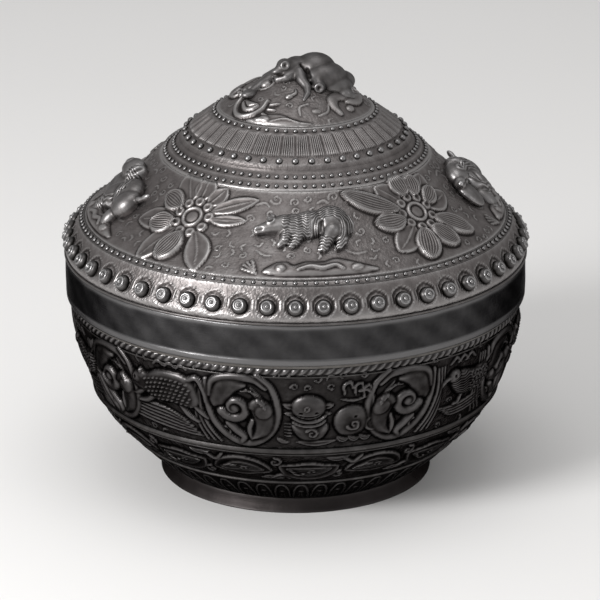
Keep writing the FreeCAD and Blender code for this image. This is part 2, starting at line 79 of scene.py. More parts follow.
@dataclass(frozen=True)
class PhotoCamera:
    """Pinhole camera of the photograph.

    Attributes:
        aim: Where it looks, in millimetres.
        distance: Millimetres from there.
        elevation: Degrees over the table.
        focal: Focal length in pixels.
        width: Width of the picture in pixels.
        sensor: Width of the film in millimetres.
        nearest: Metres from which it sees.
    """

    aim: Triple = (1.14, 0.0, 44.81)
    distance: float = 800.0
    elevation: float = 19.68
    focal: float = 3077.0
    width: float = 600.0
    sensor: float = 36.0
    nearest: float = 0.05

    def place(self) -> Vector:
        """Where the camera stands, in metres."""
        slope = math.radians(self.elevation)
        return (Vector(self.aim) - self.distance * Vector((0, math.cos(slope), -math.sin(slope)))) * MM

    def build(self) -> None:
        """Make the scene's camera."""
        bpy.ops.object.camera_add(location=self.place(), rotation=(math.radians(90 - self.elevation), 0, 0))
        camera = bpy.context.object
        camera.name = "photo_camera"
        camera.data.sensor_width = self.sensor
        camera.data.lens = self.focal / self.width * self.sensor
        camera.data.clip_start = self.nearest
        bpy.context.scene.camera = camera


# Outlines

def rounded(across: np.ndarray) -> np.ndarray:
    """Height of a half round, 1 in its middle and 0 at its edge."""
    return np.sqrt(unit(1 - across ** 2))


def mound(gap: np.ndarray, width: float) -> np.ndarray:
    """Height of a soft swelling at a distance from its middle, where it is 1."""
    return np.exp(-(gap / width) ** 2)


def unit(values: np.ndarray) -> np.ndarray:
    """Values held between 0 and 1."""
    return np.clip(values, 0, 1)


def lengths(points: np.ndarray) -> np.ndarray:
    """Length of a run from its first point to each of its points."""
    return np.concatenate(([0.0], np.cumsum(np.hypot(*np.diff(points, axis=0).T))))


def spaced(points: np.ndarray, low: float, high: float, step: float) -> np.ndarray:
    """Evenly spaced points of a run.

    Args:
        points: One row for each point of the run.
        low: Length along the run where they start.
        high: Length where they end.
        step: Widest gap between them.

    Returns:
        One row for each new point.
    """
    even = np.linspace(low, high, max(2, math.ceil((high - low) / step)) + 1)
    return np.stack([np.interp(even, lengths(points), points[:, i]) for i in (0, 1)], -1)


def straight_run(corners: list[Point], step: float) -> np.ndarray:
    """Points along straight runs, with every corner kept.

    Args:
        corners: Radius and height of each corner.
        step: Widest gap between points.

    Returns:
        One row of radius and height for each point.
    """
    rows = [corners[0]]
    for low, high in zip(corners, corners[1:]):
        count = max(1, math.ceil(math.dist(low, high) / step))
        rows += [(low[0] + (high[0] - low[0]) * i / count, low[1] + (high[1] - low[1]) * i / count)
                 for i in range(1, count + 1)]
    return np.array(rows)


def smooth_points(corners: list[Point], per_run: int) -> list[Point]:
    """Smooth curve through corners.

    Args:
        corners: Points that the curve passes through.
        per_run: Points on each run.

    Returns:
        Points of the curve, both ends included.
    """
    ends = [(2 * corners[0][0] - corners[1][0], 2 * corners[0][1] - corners[1][1]), *corners,
            (2 * corners[-1][0] - corners[-2][0], 2 * corners[-1][1] - corners[-2][1])]
    rows = []
    for i in range(1, len(ends) - 2):
        a, b, c, d = (np.array(p) for p in ends[i - 1:i + 3])
        for t in np.arange(per_run) / per_run:
            rows.append(tuple(b + 0.5 * t * (c - a + t * (2 * a - 5 * b + 4 * c - d + t * (3 * (b - c) + d - a)))))
    return rows + [corners[-1]]


def smooth_run(corners: list[Point], step: float) -> np.ndarray:
    """Evenly spaced points of the smooth curve through corners."""
    dense = np.array(smooth_points(corners, 24))
    return spaced(dense, 0.0, lengths(dense)[-1], step)


# Chasing

@dataclass
class Patch:
    """A stretch of sheet that lies under the chasing tools, with its own millimetre grid.

    Attributes:
        sheet: The sheet.
        where: Its rows and columns of the sheet's grid.
        u: Millimetres to the right of its middle at each place.
        v: Millimetres up the slope from its middle.
    """

    sheet: "Sheet"
    where: tuple[np.ndarray, ...]
    u: np.ndarray
    v: np.ndarray

    def strike(self, shape: np.ndarray, seat: Seat = GROUND) -> None:
        """Set a struck shape on the sheet.

        Args:
            shape: Height of the mark at each place, zero outside it.
            seat: How it joins what is there.
        """
        rise = self.sheet.rise[self.where]
        struck = {GROUND: np.maximum(rise, shape), ON_TOP: rise + shape, CUT: rise - shape}
        self.sheet.rise[self.where] = struck[seat]

    def engrave(self, inside: np.ndarray, phase: np.ndarray, depth: np.ndarray) -> None:
        """Engrave lines inside a mark.

        Args:
            inside: Where they run.
            phase: Number of the line at each place.
            depth: How deep they are, clipped to between 0 and 1.
        """
        for store, values in ((self.sheet.phase, phase), (self.sheet.lined, unit(depth))):
            store[self.where] = np.where(inside, values, store[self.where])

    def measure(self, line: list[Point]) -> tuple[np.ndarray, np.ndarray, np.ndarray]:
        """Distance to a line, share of its length and side.

        Args:
            line: Points of the line.

        Returns:
            Distance, share from start to end, and distance to the left of the line.
        """
        best = np.full(self.u.shape, 1e9)
        share = np.zeros(self.u.shape)
        side = np.zeros(self.u.shape)
        shortest = 1e-6
        runs = [math.dist(a, b) for a, b in zip(line, line[1:])]
        whole = max(sum(runs), shortest)
        before = 0.0
        for (ax, ay), (bx, by), length in zip(line, line[1:], runs):
            if length < shortest:
                continue
            dx, dy = (bx - ax) / length, (by - ay) / length
            along = np.clip((self.u - ax) * dx + (self.v - ay) * dy, 0, length)
            left = (self.v - ay) * dx - (self.u - ax) * dy
            gap = np.hypot(self.u - ax - along * dx, self.v - ay - along * dy)
            nearer = gap < best
            best = np.where(nearer, gap, best)
            share = np.where(nearer, (before + along) / whole, share)
            side = np.where(nearer, np.copysign(gap, left), side)
            before += length
        return best, share, side

    def dome(self, at: Point, radii: Point, rise: float, turn: float = 0.0, seat: Seat = GROUND) -> None:
        """Rounded boss.

        Args:
            at: Middle.
            radii: Half length and half width.
            rise: Height.
            turn: Degrees that its length is turned to the left.
            seat: How it joins what is there.
        """
        c, s = math.cos(math.radians(turn)), math.sin(math.radians(turn))
        x, y = self.u - at[0], self.v - at[1]
        self.strike(rise * rounded(np.hypot((x * c + y * s) / radii[0], (y * c - x * s) / radii[1])), seat)

    def ring(self, at: Point, radius: float, width: float, rise: float, seat: Seat = GROUND) -> None:
        """Round wire-like ring.

        Args:
            at: Middle.
            radius: Radius of its crest.
            width: Width of the ring.
            rise: Height.
            seat: How it joins what is there.
        """
        gap = np.abs(np.hypot(self.u - at[0], self.v - at[1]) - radius) / (width / 2)
        self.strike(rise * rounded(gap), seat)

    def band(self, line: list[Point], width: float, rise: float, ends: Point = (1.0, 1.0),
             seat: Seat = GROUND) -> None:
        """Rounded ridge or groove along a line.

        Args:
            line: Points of the line.
            width: Full width in the middle.
            rise: Height.
            ends: Shares of the width and height at the two ends.
            seat: How it joins what is there.
        """
        gap, share, _ = self.measure(smooth_points(line, 6) if len(line) > 2 else line)
        swell = np.where(share < 0.5, ends[0] + (1 - ends[0]) * share * 2, ends[1] + (1 - ends[1]) * (1 - share) * 2)
        swell = np.sin(unit(swell) * math.pi / 2)
        self.strike(rise * np.sqrt(swell) * rounded(gap / np.maximum(width / 2 * swell, 1e-3)), seat)

    def scroll(self, at: Point, radius: float, turns: float, start: float, width: float, rise: float,
               seat: Seat = GROUND) -> None:
        """Spiral ridge that winds inwards and narrows.

        Args:
            at: Middle.
            radius: Radius of its outer end.
            turns: Turns, to the left above zero.
            start: Angle in degrees of its outer end.
            width: Width of the ridge at its outer end.
            rise: Height.
            seat: How it joins what is there.
        """
        count, inner = max(8, int(abs(turns) * 20)), 0.3
        line = []
        for i in range(count + 1):
            angle = math.radians(start) + math.tau * turns * i / count
            reach = radius + (inner - radius) * i / count
            line.append((at[0] + reach * math.cos(angle), at[1] + reach * math.sin(angle)))
        gap, share = self.measure(line)[:2]
        self.strike(rise * rounded(gap / (width / 2 * (1 - 0.5 * share))), seat)

    def leaf(self, spine: list[Point], width: float, rise: float, veins: float = 0.0, rim: float = 0.4,
             fullness: float = 0.6, seat: Seat = GROUND) -> None:
        """Leaf or petal with a raised rim and engraved veins.

        Args:
            spine: Points from its foot to its tip.
            width: Widest width.
            rise: Height of its rim.
            veins: Engraved lines across its width.
            rim: Share of the height that the rim stands over the middle.
            fullness: Where it is widest and how blunt it is, from 0, pointed, to 1, blunt.
            seat: How it joins what is there.
        """
        gap, share, side = self.measure(smooth_points(spine, 6) if len(spine) > 2 else spine)
        half = width / 2 * np.sin(unit(share) ** (0.75 + 0.5 * fullness) * math.pi) ** (1 - 0.6 * fullness)
        across = gap / np.maximum(half, 1e-3)
        inside = across < 1
        edge = np.sqrt(unit((1 - across) * half / 0.35))
        shape = rise * edge * (1 - rim * unit(1 - across ** 2))
        self.strike(np.where(inside, shape, 0), seat)
        if veins:
            self.engrave(inside, side / np.maximum(half, 0.3) * veins / 2, (0.86 - across) * 6)

    def plate(self, outline: list[Point], rise: float, edge: float, hatch: Point | None = None,
              wave: float = 0.0) -> None:
        """Raised shape inside a smooth outline, rounded off towards its edge.

        Args:
            outline: Points round the shape.
            rise: Height.
            edge: Width over which it rounds off.
            hatch: Direction in degrees and pitch of engraved lines.
            wave: How far these lines sway.
        """
        line = smooth_points([outline[-1], *outline, *outline[:2]], 5)[5:-5]
        gap = self.measure(line)[0]
        inside = np.zeros(self.u.shape, bool)
        for (ax, ay), (bx, by) in zip(line, line[1:]):
            if abs(by - ay) > 1e-9:
                inside ^= ((ay > self.v) != (by > self.v)) & (self.u < (bx - ax) * (self.v - ay) / (by - ay) + ax)
        self.strike(rise * rounded(1 - np.where(inside, unit(gap / edge), 0)))
        if hatch:
            c, s = math.cos(math.radians(hatch[0])), math.sin(math.radians(hatch[0]))
            x, y = self.u * c + self.v * s, self.v * c - self.u * s
            self.engrave(inside, (y + wave * np.sin(x * 1.9)) / hatch[1], gap / 0.4 - 0.4)


@dataclass
class Sheet:
    """A turned ring of silver sheet, chased from outside.

    Attributes:
        name: Name of the piece.
        body: Body that it rides on.
        nodes: CAD nodes that it stands for.
        slot: Name of a material slot; not used.
        outline: Radius and height along its outside, from low to high.
        steps: Steps round it, a multiple of four.
        wall: Thickness.
        sunk: How far the ground lies below the outline.
        rise: Relief over the ground, one row for each step and one column for each outline point.
        phase: Number of the engraved line at each place.
        lined: Depth of the engraved lines.
        slope: Distance of each outline point up the slope.
    """

    name: str
    body: Body
    nodes: list[str]
    slot: str
    outline: np.ndarray
    steps: int
    wall: float = 0.9
    sunk: float = 0.15
    rise: np.ndarray = field(init=False)
    phase: np.ndarray = field(init=False)
    lined: np.ndarray = field(init=False)
    slope: np.ndarray = field(init=False)

    def __post_init__(self) -> None:
        """Lay out the grid of the chased side."""
        size = (self.steps, len(self.outline))
        self.rise, self.phase, self.lined = np.zeros(size), np.zeros(size), np.zeros(size)
        self.slope = lengths(self.outline)

    def turns(self, count: float) -> np.ndarray:
        """Turn of each step round the sheet, of so many in all, as a column."""
        return np.arange(self.steps)[:, None] / self.steps * count

    def normals(self) -> np.ndarray:
        """Outward direction at each outline point.

        Returns:
            One row of two for each point.
        """
        along = np.gradient(self.outline, axis=0)
        along /= np.hypot(*along.T)[:, None]
        return np.stack((along[:, 1], -along[:, 0]), -1)

    def under(self, angle: float, middle: float, half_width: float, half_height: float) -> Patch:
        """Patch of the sheet round a place.

        Args:
            angle: Degrees to the right of the front.
            middle: Distance up the slope.
            half_width: Half of the patch's width.
            half_height: Half of its height.

        Returns:
            The patch, whose marks go straight into the sheet.
        """
        columns = np.nonzero(np.abs(self.slope - middle) <= half_height)[0]
        radii = np.maximum(self.outline[columns, 0], 0.5)
        reach = min(180.0, math.degrees(half_width / radii.min()))
        step = 360 / self.steps
        first, last = math.floor((angle - reach) / step), math.ceil((angle + reach) / step)
        turns = np.arange(first, min(last, first + self.steps - 1) + 1)
        where = np.ix_(turns % self.steps, columns)
        u = np.radians(turns * step - angle)[:, None] * radii[None, :]
        v = np.broadcast_to(self.slope[columns] - middle, u.shape)
        return Patch(self, where, u, v)

    def fill(self, seed: int, tries: int, size: float, rise: float) -> None:
        """Chase small curls and flame strokes wherever the ground is still free.

        Args:
            seed: Seed of the places, so that they are the same on each run.
            tries: Places that are tried.
            size: Half length of a stroke.
            rise: Height of a stroke.
        """
        chance, margin, free, curled = np.random.default_rng(seed), size + 0.4, 0.1, 0.45
        for _ in range(tries):
            angle, turn = chance.uniform(0, 360), chance.uniform(0, math.tau)
            middle = chance.uniform(margin, self.slope[-1] - margin)
            hand, curl = (-1.0 if chance.random() < 0.5 else 1.0), chance.random() < curled
            patch = self.under(angle, middle, size * 1.25, size * 1.25)
            if self.rise[patch.where].max() > free:
                continue
            c, s = math.cos(turn) * size, math.sin(turn) * size
            if curl:
                patch.scroll((0.0, 0.0), size * 0.8, 1.1 * hand, math.degrees(turn), size * 0.5, rise)
            else:
                bend, tip = (-0.25 * hand * s, 0.25 * hand * c), (c * 0.6 + 0.5 * hand * s, s * 0.6 - 0.5 * hand * c)
                patch.band([(-c, -s), bend, tip], size * 0.55, rise, (0.4, 0.7))

    def turned(self, outer: np.ndarray) -> Piece:
        """Turn the ring on a lathe, with its inner wall.

        Args:
            outer: Radius and height along the ground of the chased side.

        Returns:
            The smooth ring.
        """
        picks = np.unique(np.linspace(0, len(outer) - 1, max(3, len(outer) // 12)).astype(int))
        inner = np.maximum((self.outline - self.normals() * self.wall)[picks][::-1], 0.0)
        section = np.concatenate((outer, inner)) * MM
        count = len(section)
        mesh = bpy.data.meshes.new(self.name)
        mesh.from_pydata([(r, 0.0, z) for r, z in section], [(i, (i + 1) % count) for i in range(count)], [])
        piece = bpy.data.objects.new(self.name, mesh)
        bpy.context.scene.collection.objects.link(piece)
        only(piece)
        lathe = piece.modifiers.new("lathe", "SCREW")
        lathe.axis, lathe.angle, lathe.screw_offset = "Z", math.tau, 0.0
        lathe.steps = lathe.render_steps = self.steps
        lathe.use_merge_vertices, lathe.merge_threshold = True, MERGE
        bpy.ops.object.modifier_apply(modifier="lathe")
        close_up(MERGE)
        return piece

    def build(self) -> Piece:
        """Turn the ring, strike its relief and name its ground, wear and line marks.

        Returns:
            The finished piece.
        """
        outer = self.outline - self.normals() * self.sunk
        if self.outline[-1, 0] < CLOSED:
            outer[-1, 0] = 0
        piece = self.turned(outer)
        spots = read_vertices(piece)
        radii, heights = np.hypot(spots[:, 0], spots[:, 1]), spots[:, 2]
        gaps = np.hypot(radii[:, None] - outer[None, :, 0] * MM, heights[:, None] - outer[None, :, 1] * MM)
        column = gaps.argmin(1)
        chased = gaps[np.arange(len(spots)), column] < MERGE
        turn = np.degrees(np.arctan2(spots[:, 0], -spots[:, 1])) / (360 / self.steps)
        grid = (np.round(turn).astype(int) % self.steps, column)
        rise = np.where(chased, self.rise[grid] + self.sunk, 0)
        top = max(float(rise.max()), CLOSED)
        group = piece.vertex_groups.new(name="relief")
        for i in np.nonzero(rise > 0)[0].tolist():
            group.add((i,), rise[i] / top, "REPLACE")
        strike = piece.modifiers.new("relief", "DISPLACE")
        strike.vertex_group, strike.mid_level, strike.strength = "relief", 0.0, top * MM
        bpy.ops.object.modifier_apply(modifier="relief")
        piece.vertex_groups.clear()
        mark(piece, "phase", np.where(chased, self.phase[grid], PLAIN_PHASE))
        mark(piece, "lined", np.where(chased, self.lined[grid], INNER_SHINE))
        mark(piece, "ground", np.where(chased, unit(1 - self.rise[grid] / GROUND_DEPTH), 0))
        mark(piece, "wear", read_wear(piece))
        bpy.ops.object.shade_smooth()
        return finish_piece(piece, self.body, self.nodes)


DOME, RING, BAND, SCROLL, LEAF, PLATE = Patch.dome, Patch.ring, Patch.band, Patch.scroll, Patch.leaf, Patch.plate


@dataclass(frozen=True)
class Motif:
    """Marks that are chased together, across to the right and up the slope in millimetres.

    Attributes:
        angle: Degrees of its middle to the right of its group.
        middle: Distance of its middle up the slope.
        reach: Half width and half height of its patch.
        marks: For each mark its tool and what the tool takes.
    """

    angle: float
    middle: float
    reach: Point
    marks: tuple[tuple, ...]

    def chase(self, sheet: Sheet, turn: float) -> None:
        """Chase it on a sheet.

        Args:
            sheet: The sheet.
            turn: Degrees of its group.
        """
        patch = sheet.under(turn + self.angle, self.middle, *self.reach)
        for tool, *how in self.marks:
            tool(patch, *how)


# Mesh helpers

def only(piece: Piece) -> None:
    """Select one object alone and make it active.

    Args:
        piece: The object.
    """
    bpy.ops.object.select_all(action="DESELECT")
    piece.select_set(True)
    bpy.context.view_layer.objects.active = piece


def join_all(parts: list[Piece], lead: Piece) -> None:
    """Join parts into one of them.

    Args:
        parts: All the parts.
        lead: The one that stays.
    """
    only(lead)
    for part in parts:
        part.select_set(True)
    if len(parts) > 1:
        bpy.ops.object.join()


def turned_copy(first: Piece, angle: float) -> Piece:
    """Copy with its own mesh, turned about the box's axis.

    Args:
        first: What is copied.
        angle: Degrees.

    Returns:
        The copy.
    """
    copy = first.copy()
    copy.data = first.data.copy()
    bpy.context.scene.collection.objects.link(copy)
    copy.data.transform(turn_about(angle))
    return copy


def close_up(merge: float = 0.0) -> None:
    """Merge doubles of the active piece and turn its faces outwards.

    Args:
        merge: Metres within which points are merged, or none.
    """
    bpy.ops.object.mode_set(mode="EDIT")
    bpy.ops.mesh.select_all(action="SELECT")
    if merge:
        bpy.ops.mesh.remove_doubles(threshold=merge)
    bpy.ops.mesh.normals_make_consistent(inside=False)
    bpy.ops.object.mode_set(mode="OBJECT")


def read_vertices(piece: Piece, what: str = "co") -> np.ndarray:
    """Read three numbers of each vertex.

    Args:
        piece: The piece.
        what: The place, "co", or the "normal".

    Returns:
        One row for each vertex.
    """
    spots = np.empty(len(piece.data.vertices) * 3)
    piece.data.vertices.foreach_get(what, spots)
    return spots.reshape(-1, 3)


def mark(piece: Piece, name: str, values: np.ndarray) -> None:
    """Store one number for each vertex.

    Args:
        piece: The piece.
        name: Name of the attribute.
        values: One number for each vertex.
    """
    store = piece.data.attributes.new(name, "FLOAT", "POINT")
    store.data.foreach_set("value", np.asarray(values, np.float32))


def read_wear(piece: Piece, passes: int = 9, depth: float = 0.16) -> np.ndarray:
    """How far each vertex stands over its surroundings, where handling polishes, or below, where dirt stays.

    Args:
        piece: The piece.
        passes: How often the surroundings are averaged.
        depth: Millimetres that count as one.

    Returns:
        Numbers from -1, a recess, to 1, a worn crest.
    """
    mesh = piece.data
    ends = np.empty(len(mesh.edges) * 2, np.int64)
    mesh.edges.foreach_get("vertices", ends)
    ends = ends.reshape(-1, 2)
    spots = read_vertices(piece)
    count = len(spots)
    near = np.maximum(np.bincount(ends.ravel(), minlength=count), 1)
    soft = spots.copy()
    for _ in range(passes):
        total = np.stack([np.bincount(ends[:, 0], soft[ends[:, 1], k], count)
                          + np.bincount(ends[:, 1], soft[ends[:, 0], k], count) for k in range(3)], -1)
        soft = 0.5 * soft + 0.5 * total / near[:, None]
    above = ((spots - soft) * read_vertices(piece, "normal")).sum(1) / (depth * MM)
    return np.clip(above, -1, 1)


def finish_piece(piece: Piece, body: Body, nodes: list[str]) -> Piece:
    """Hang a piece on its body and hide the CAD nodes that it stands for.

    Args:
        piece: The piece, in place.
        body: Body that it rides on.
        nodes: CAD nodes that it stands for.

    Returns:
        The same piece.
    """
    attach(piece, body.value)
    if nodes:
        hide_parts(*nodes)
    LOG.info("piece %s: %d vertices", piece.name, len(piece.data.vertices))
    return piece


# Finishes, with the scales of their patterns in cells for each metre

CLOUD_SCALE, SPOT_SCALE, GRAIN_SCALE, PUNCH_SCALE = 55.0, 420.0, 1300.0, 1500.0
MOTTLE_SCALE, STROKE_SCALE, STROKE_RATIO = 620.0, 260.0, 14.0
LINE_TONE = 0.22
TONE_STEPS = (0.16, 0.5, 0.88)


@dataclass(frozen=True)
class Silver:
    """One finish of tarnished silver.

    Attributes:
        name: Name of the material.
        recess: Colour where dirt stays.
        plain: Colour of the level parts.
        crest: Colour where handling polishes.
        rough: Roughness of recesses and of crests.
        grain: Millimetres of fine unevenness.
        stipple: Millimetres of punch marks on the ground.
        lines: Millimetres of engraved lines.
        brushed: Millimetres of fine level strokes.
        cloud: How much tarnish varies over the surface.
        spotted: How much it varies from spot to spot.
        edge: Grey of its reflection where it is seen from the side; set low on the bowl, its wires and rope, the skirt
            and the foot to paint shade on their sides.
        mottle: Millimetres of soft unevenness on the ground.
        marked: Whether the pieces carry wear, ground and line marks.
    """

    name: str
    recess: Triple
    plain: Triple
    crest: Triple
    rough: Point = (0.55, 0.26)
    grain: float = 0.03
    stipple: float = 0.0
    lines: float = 0.07
    brushed: float = 0.0
    cloud: float = 0.25
    spotted: float = 0.35
    edge: float = 0.6
    mottle: float = 0.0
    marked: bool = True

    def build(self) -> bpy.types.Material:
        """Make the material.

        Returns:
            The material, with its colour, roughness and bump from nodes.
        """
        material = bpy.data.materials.new(self.name)
        material.use_nodes = True
        desk = NodeDesk(material)
        place = desk.add("ShaderNodeTexCoord").outputs["Object"]
        cut = self.cut_lines(desk) if self.marked else 0.0
        self.colour(desk, place, cut)
        bump = desk.add("ShaderNodeBump")
        bump.inputs["Distance"].default_value = MM
        desk.join(self.height(desk, place, cut), bump.inputs["Height"])
        desk.join(bump.outputs["Normal"], desk.shader.inputs["Normal"])
        desk.shader.inputs["Metallic"].default_value = 1.0
        # Specular Tint greys the reflection at grazing angles; the low edge values paint shade on the sides.
        desk.shader.inputs["Specular Tint"].default_value = (self.edge, self.edge, self.edge, 1.0)
        return material

    def cut_lines(self, desk: "NodeDesk") -> Socket:
        """Engraved lines, from the phase and line marks."""
        wave = desk.value("SINE", desk.scaled(desk.attribute("phase"), math.tau))
        return desk.value("MULTIPLY", wave, desk.attribute("lined"))

    def colour(self, desk: "NodeDesk", place: Socket, cut: object) -> None:
        """Lay out colour and roughness, from recess to crest.

        Args:
            desk: The finish's nodes.
            place: Socket of the place.
            cut: Socket of the engraved lines, or nothing.
        """
        clouds = desk.scaled(desk.noise(place, CLOUD_SCALE, 4.0), self.cloud, -self.cloud / 2)
        spots = desk.scaled(desk.noise(place, SPOT_SCALE, 3.0), self.spotted, -self.spotted / 2)
        worn = desk.scaled(desk.attribute("wear"), 0.5, 0.5) if self.marked else 0.5
        tone = desk.value("ADD", worn, desk.value("ADD", clouds, spots))
        if self.marked:
            tone = desk.value("ADD", tone, desk.scaled(cut, LINE_TONE))
        ramp = desk.add("ShaderNodeValToRGB")
        marks = ramp.color_ramp.elements
        for element, (at, colour) in zip((marks[0], marks.new(0.5), marks[-1]), zip(
                TONE_STEPS, (self.recess, self.plain, self.crest))):
            element.position, element.color = at, (*colour, 1.0)
        desk.join(tone, ramp.inputs["Fac"])
        desk.join(ramp.outputs["Color"], desk.shader.inputs["Base Color"])
        rough = desk.add("ShaderNodeMapRange")
        rough.inputs["To Min"].default_value, rough.inputs["To Max"].default_value = self.rough
        desk.join(tone, rough.inputs["Value"])
        desk.join(rough.outputs["Result"], desk.shader.inputs["Roughness"])

    def height(self, desk: "NodeDesk", place: Socket, cut: object) -> Socket:
        """Lay out the fine relief.

        Args:
            desk: The finish's nodes.
            place: Socket of the place.
            cut: Socket of the engraved lines, or nothing.

        Returns:
            The height in millimetres.
        """
        height = desk.scaled(desk.noise(place, GRAIN_SCALE, 3.0), self.grain)
        if self.marked:
            height = desk.value("ADD", height, desk.scaled(cut, self.lines))
        if self.stipple:
            punched = desk.add("ShaderNodeTexVoronoi")
            punched.inputs["Scale"].default_value = PUNCH_SCALE
            desk.join(place, punched.inputs["Vector"])
            uneven = desk.value("ADD", desk.scaled(punched.outputs["Distance"], self.stipple),
                                desk.scaled(desk.noise(place, MOTTLE_SCALE, 3.0), self.mottle))
            height = desk.value("ADD", height, desk.value("MULTIPLY", uneven, desk.attribute("ground")))
        if self.brushed:
            squash = desk.add("ShaderNodeMapping")
            squash.inputs["Scale"].default_value = (1.0, 1.0, STROKE_RATIO)
            desk.join(place, squash.inputs["Vector"])
            strokes = desk.noise(squash.outputs["Vector"], STROKE_SCALE, 5.0)
            height = desk.value("ADD", height, desk.scaled(strokes, self.brushed))
        return height


class NodeDesk:
    """Small helper that lays out the nodes of one finish."""

    def __init__(self, material: bpy.types.Material) -> None:
        """Start from a material that has its usual two nodes.

        Args:
            material: The material.
        """
        self.tree = material.node_tree
        self.shader = next(n for n in self.tree.nodes if n.type == "BSDF_PRINCIPLED")

    def add(self, kind: str) -> bpy.types.Node:
        """New node of a kind."""
        return self.tree.nodes.new(kind)

    def join(self, source: object, target: Socket) -> None:
        """Link a socket, or set a number, on a target socket.

        Args:
            source: Output socket or number.
            target: Input socket.
        """
        if isinstance(source, (int, float)):
            target.default_value = source
        else:
            self.tree.links.new(source, target)

    def value(self, what: str, first: object, second: object = 0.0) -> Socket:
        """One sum on numbers.

        Args:
            what: Operation of the Math node.
            first: First number or socket.
            second: Second number or socket.

        Returns:
            The result's socket.
        """
        node = self.add("ShaderNodeMath")
        node.operation = what
        self.join(first, node.inputs[0])
        self.join(second, node.inputs[1])
        return node.outputs[0]

    def scaled(self, source: object, scale: float, offset: float = 0.0) -> Socket:
        """A socket times a number, plus a number."""
        return self.value("ADD", self.value("MULTIPLY", source, scale), offset)

    def attribute(self, name: str) -> Socket:
        """Stored number of the piece.

        Args:
            name: Name of the attribute.

        Returns:
            Its socket.
        """
        node = self.add("ShaderNodeAttribute")
        node.attribute_name = name
        return node.outputs["Fac"]

    def noise(self, place: object, scale: float, detail: float) -> Socket:
        """Noise around one half.

        Args:
            place: Socket of the place.
            scale: Cells for each metre.
            detail: Octaves.

        Returns:
            The noise's socket.
        """
        node = self.add("ShaderNodeTexNoise")
        node.inputs["Scale"].default_value = scale
        node.inputs["Detail"].default_value = detail
        self.join(place, node.inputs["Vector"])
        return node.outputs["Fac"]


LID_SILVER = Silver("lid_chased_silver", (0.034, 0.030, 0.029), (0.168, 0.153, 0.150), (0.35, 0.336, 0.332),
                    rough=(0.6, 0.36), stipple=0.07, mottle=0.17)
LID_POLISHED = Silver("lid_polished_silver", (0.012, 0.011, 0.010), (0.10, 0.095, 0.094), (0.27, 0.264, 0.264),
                      rough=(0.5, 0.30), grain=0.015)
FIGURE_SILVER = Silver("lid_figure_silver", (0.03, 0.027, 0.026), (0.155, 0.146, 0.144), (0.42, 0.41, 0.41),
                       rough=(0.55, 0.30), grain=0.02, lines=0.09)
# Painted shade: the peak group gets a darker copy of the figures' silver, painting the shade on its top-facing hump.
PEAK_SHADED_SILVER = Silver("lid_peak_silver", (0.02, 0.018, 0.017), (0.095, 0.089, 0.088), (0.23, 0.222, 0.222),
                     rough=(0.55, 0.36), grain=0.03)
# Painted shade: the bowl's silver is set far darker than the lid's, painting the shade that lies over the whole bowl,
# and its low edge grey darkens its sides; the blackened ground in its recesses is its own patina.
BOWL_SHADED_SILVER = Silver("bowl_chased_silver", (0.003, 0.0027, 0.0027), (0.025, 0.0229, 0.0226), (0.098, 0.0932, 0.0932),
                     rough=(0.5, 0.32), stipple=0.1, edge=0.1, mottle=0.3)
# Painted shade: the skirt's low edge grey darkens its reflection at the sides.
SKIRT_SILVER = Silver("skirt_brushed_silver", (0.012, 0.0117, 0.012), (0.030, 0.0292, 0.0302), (0.15, 0.147, 0.149),
                      rough=(0.42, 0.34), brushed=0.05, cloud=0.12, spotted=0.1, edge=0.05)
# Painted shade: the foot's silver is set dark, its crest barely lighter than its plain, painting the fall-off of light
# towards the bottom; its low edge grey darkens its sides.
FOOT_SHADED_SILVER = Silver("foot_satin_silver", (0.012, 0.0105, 0.0102), (0.030, 0.0263, 0.026), (0.042, 0.0379, 0.0374),
                     rough=(0.52, 0.46), brushed=0.03, spotted=0.15, edge=0.1)
LID_WIRE_SILVER = Silver("lid_worn_wire_silver", (0.03, 0.027, 0.026), (0.13, 0.121, 0.119), (0.27, 0.262, 0.26),
                         rough=(0.45, 0.34), marked=False)
# Painted shade: the bowl's wires get a darker copy of the lid's wire silver, painting the shade on the bowl, with a
# low edge grey for their sides; their lighter crests are wear.
BOWL_WIRE_SHADED_SILVER = Silver("bowl_worn_wire_silver", (0.012, 0.011, 0.0108), (0.068, 0.064, 0.063), (0.22, 0.212, 0.212),
                          rough=(0.4, 0.28), edge=0.15, marked=False)
# Painted shade: the rope is set about as dark as the bowl's silver, painting the shade on the bowl below the lid, with
# a low edge grey for its sides.
ROPE_SHADED_SILVER = Silver("rope_worn_silver", (0.005, 0.0045, 0.0045), (0.038, 0.0355, 0.0352), (0.14, 0.134, 0.134),
                     rough=(0.45, 0.28), edge=0.15)
INNER_SILVER = Silver("inner_dull_silver", (0.03, 0.028, 0.026), (0.12, 0.112, 0.105), (0.26, 0.25, 0.24),
                      rough=(0.5, 0.36), brushed=0.03, marked=False)

# The first of these words that a name has says its finish

PIECE_FINISHES = (("beads", LID_POLISHED), ("bosses", LID_POLISHED), ("figures", FIGURE_SILVER),
                  ("group", PEAK_SHADED_SILVER), ("skirt", SKIRT_SILVER), ("foot", FOOT_SHADED_SILVER), ("rope", ROPE_SHADED_SILVER),
                  ("floor", INNER_SILVER), ("bowl", BOWL_SHADED_SILVER), ("lid", LID_SILVER))
NODE_FINISHES = (("bowl_collar", INNER_SILVER), ("bowl_rim_ring", INNER_SILVER), ("bowl_shell", INNER_SILVER),
                 ("lid_crown", INNER_SILVER), ("bowl", BOWL_WIRE_SHADED_SILVER), ("", LID_WIRE_SILVER))


# Rows of beads and bosses

